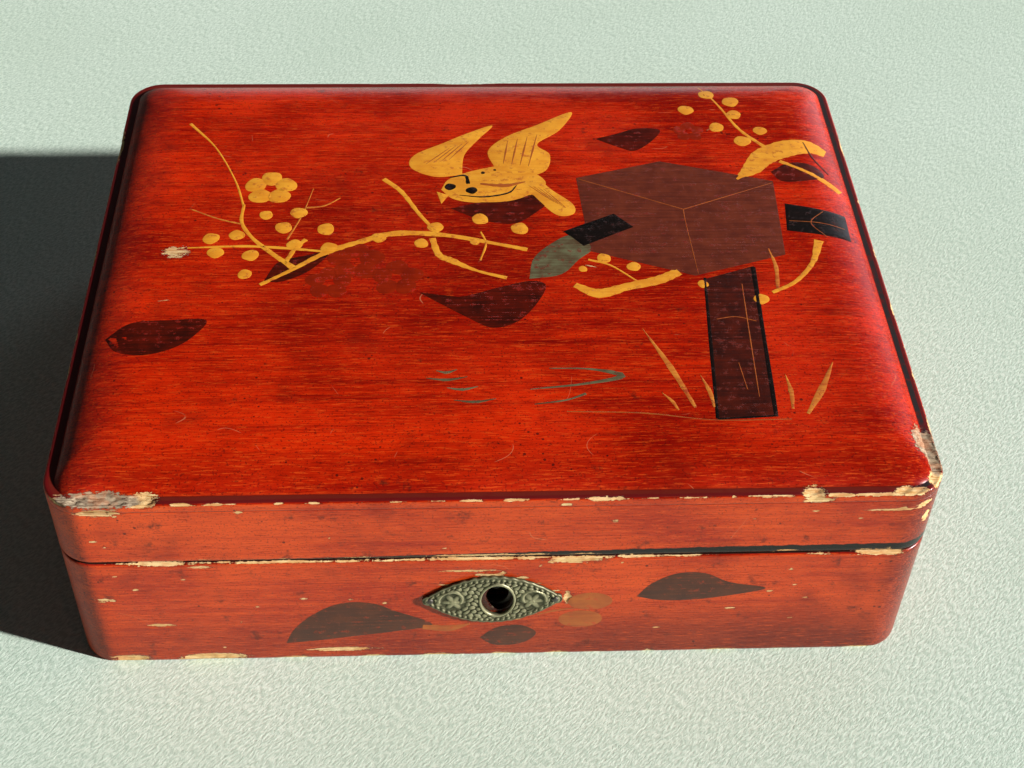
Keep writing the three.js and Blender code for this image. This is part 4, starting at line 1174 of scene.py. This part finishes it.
def cushion(node, name, body, face, rounding, wrinkle):
    """A stuffed piece in the place of a CAD block: crowned on the side it faces, with a few soft wrinkles."""
    low, high = (np.array(corner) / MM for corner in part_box(node))
    count_x, count_y = (max(12, int(side / (1.2))) for side in (high - low)[:2])
    xs, ys = np.linspace(low[0], high[0], count_x), np.linspace(low[1], high[1], count_y)
    x, y = (g.ravel() for g in np.meshgrid(xs, ys, indexing="ij"))

    def roll(value, a, b):
        t = np.clip(np.minimum(value - a, b - value) / rounding, 0, 1)
        return np.sqrt(1 - (1 - t) ** 2)

    puff = roll(x, low[0], high[0]) * roll(y, low[1], high[1])
    flat = np.column_stack([x, y, np.zeros(len(x))])
    thick = (high[2] - low[2]) * (0.22 + 0.78 * puff) - wrinkle * puff * (1 + ripple(flat, 26, 11)) / 2
    near, far = (low[2], high[2]) if face > 0 else (high[2], low[2])
    sign = 1 if far > near else -1
    top = np.column_stack([x, y, near + sign * thick])
    under = np.column_stack([x, y, np.full(len(x), near)])
    faces = slab_faces(count_x, count_y)
    obj = mesh_piece(name, np.concatenate([top, under]), faces, SILK, body)
    make_outward(obj)
    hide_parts(node)


def build_cushions():
    cushion("floor_pad", "floor_cushion", "base", 1, 4, 0.8)
    cushion("lid_pad", "lid_cushion", "lid", -1, 7, 0.9)
    for i in range(1, 5):
        cushion(f"ring_roll_{i}", f"ring_cushion_{i}", "tray", 1, 5.9, 0.3)


# ---- CAD nodes that are shown as they are ----
def dress_cad_nodes():
    """Gives each remaining CAD node its material and soft edges."""
    looks = {"black_lacquer": (BLACK, 0.3), "brass": (BRASS, 0.12), "iron": (IRON, 0.08), "silk": (SILK, 0.3)}
    slots = {entry["node"]: entry["material_slot"] for entry in frame["record"]["subparts"]}
    for name, obj in frame["nodes"].items():
        if obj.hide_render:
            continue
        material, edge = looks[slots[name]]
        obj.data.materials.clear()
        obj.data.materials.append(material)
        weld = obj.modifiers.new("weld", "WELD")
        weld.merge_threshold = 0.001 * MM
        bevel = obj.modifiers.new("edges", "BEVEL")
        bevel.width = edge * MM
        bevel.segments = 2
        bevel.angle_limit = math.radians(35)


# ---- Stage ----
def build_floor():
    """A pale, fibrous sheet that reaches far past the view. Its sizes are in metres."""
    s = Shader("floor")
    turned = s.node("ShaderNodeMapping", {"Vector": s.place, "Rotation": (0, 0, 0.8)}).outputs[0]
    stretched = s.node("ShaderNodeMapping", {"Vector": turned, "Scale": (1500, 480, 900)}).outputs[0]
    fibre = s.noise(1, 4, stretched, 0.7)
    cloud = s.noise(9, 3)
    color = s.mix(s.band(cloud, 0.3, 0.7), rgb(216, 231, 214), rgb(224, 238, 223))
    color = s.mix(s.band(fibre, 0.4, 0.6, 0, 0.8), color, rgb(176, 197, 179))
    material = s.finish(color, 0.85, s.bump(fibre, 0.5 * MM, 0.5))
    count, half = 24, 3.0
    steps = np.linspace(-half, half, count)
    verts = [(x, y, 0) for x in steps for y in steps]
    faces = [(i * count + j, (i + 1) * count + j, (i + 1) * count + j + 1, i * count + j + 1)
             for i in range(count - 1) for j in range(count - 1)]
    mesh = bpy.data.meshes.new("floor")
    mesh.from_pydata(verts, [], faces)
    mesh.materials.append(material)
    floor = add_object("floor", mesh)


def build_lights():
    """A low key light from the right, two broad panels and a dim glow all round."""
    sun = bpy.data.lights.new("key", "SUN")
    sun.energy = 8.2
    sun.angle = math.radians(2.2)
    sun.color = (1.0, 0.99, 0.97)
    key = add_object("key", sun)
    key.rotation_euler = Vector(KEY_DIRECTION).to_track_quat("Z", "Y").to_euler()
    soft_panel("side_panel", (0.62, 0.72, 0.3), 1.7, (0.7, 0.6), 2.0, (0.85, 0.88, 1.0))
    soft_panel("back_panel", (0.2, 1.0, 0.12), 2.2, (2.0, 0.34), 3.2, (0.95, 0.97, 1.0))

    world = bpy.data.worlds.new("world")
    world.use_nodes = True
    world.node_tree.nodes["Background"].inputs[0].default_value = (0.85, 0.95, 1.0, 1)
    world.node_tree.nodes["Background"].inputs[1].default_value = 0.027
    bpy.context.scene.world = world


def build_camera():
    camera = bpy.data.cameras.new("camera")
    camera.lens = 54.66
    camera.sensor_width = 36
    camera.clip_start, camera.clip_end = 0.01, 20
    view = add_object("camera", camera)
    view.location = (-0.0151, -0.3773, 0.3944)
    view.rotation_euler = Euler([math.radians(a) for a in (45.02, -1.33, -2.26)], "XYZ")
    bpy.context.scene.camera = view
    bpy.context.scene.view_settings.view_transform = "Standard"


def soft_panel(name, direction, distance, size, power, color):
    """A flat lamp in a direction from the box, aimed at it."""
    lamp = bpy.data.lights.new(name, "AREA")
    lamp.shape = "RECTANGLE"
    lamp.size, lamp.size_y = size
    lamp.energy = power
    lamp.color = color
    obj = add_object(name, lamp)
    unit = np.array(direction) / np.linalg.norm(direction)
    obj.location = unit * distance
    obj.rotation_euler = (-obj.location).to_track_quat("-Z", "Y").to_euler()


build_box()
build_escutcheon()
paint_branches()
paint_bird()
paint_lantern()
paint_leaves()
build_cushions()
dress_cad_nodes()
build_floor()
build_lights()
build_camera()
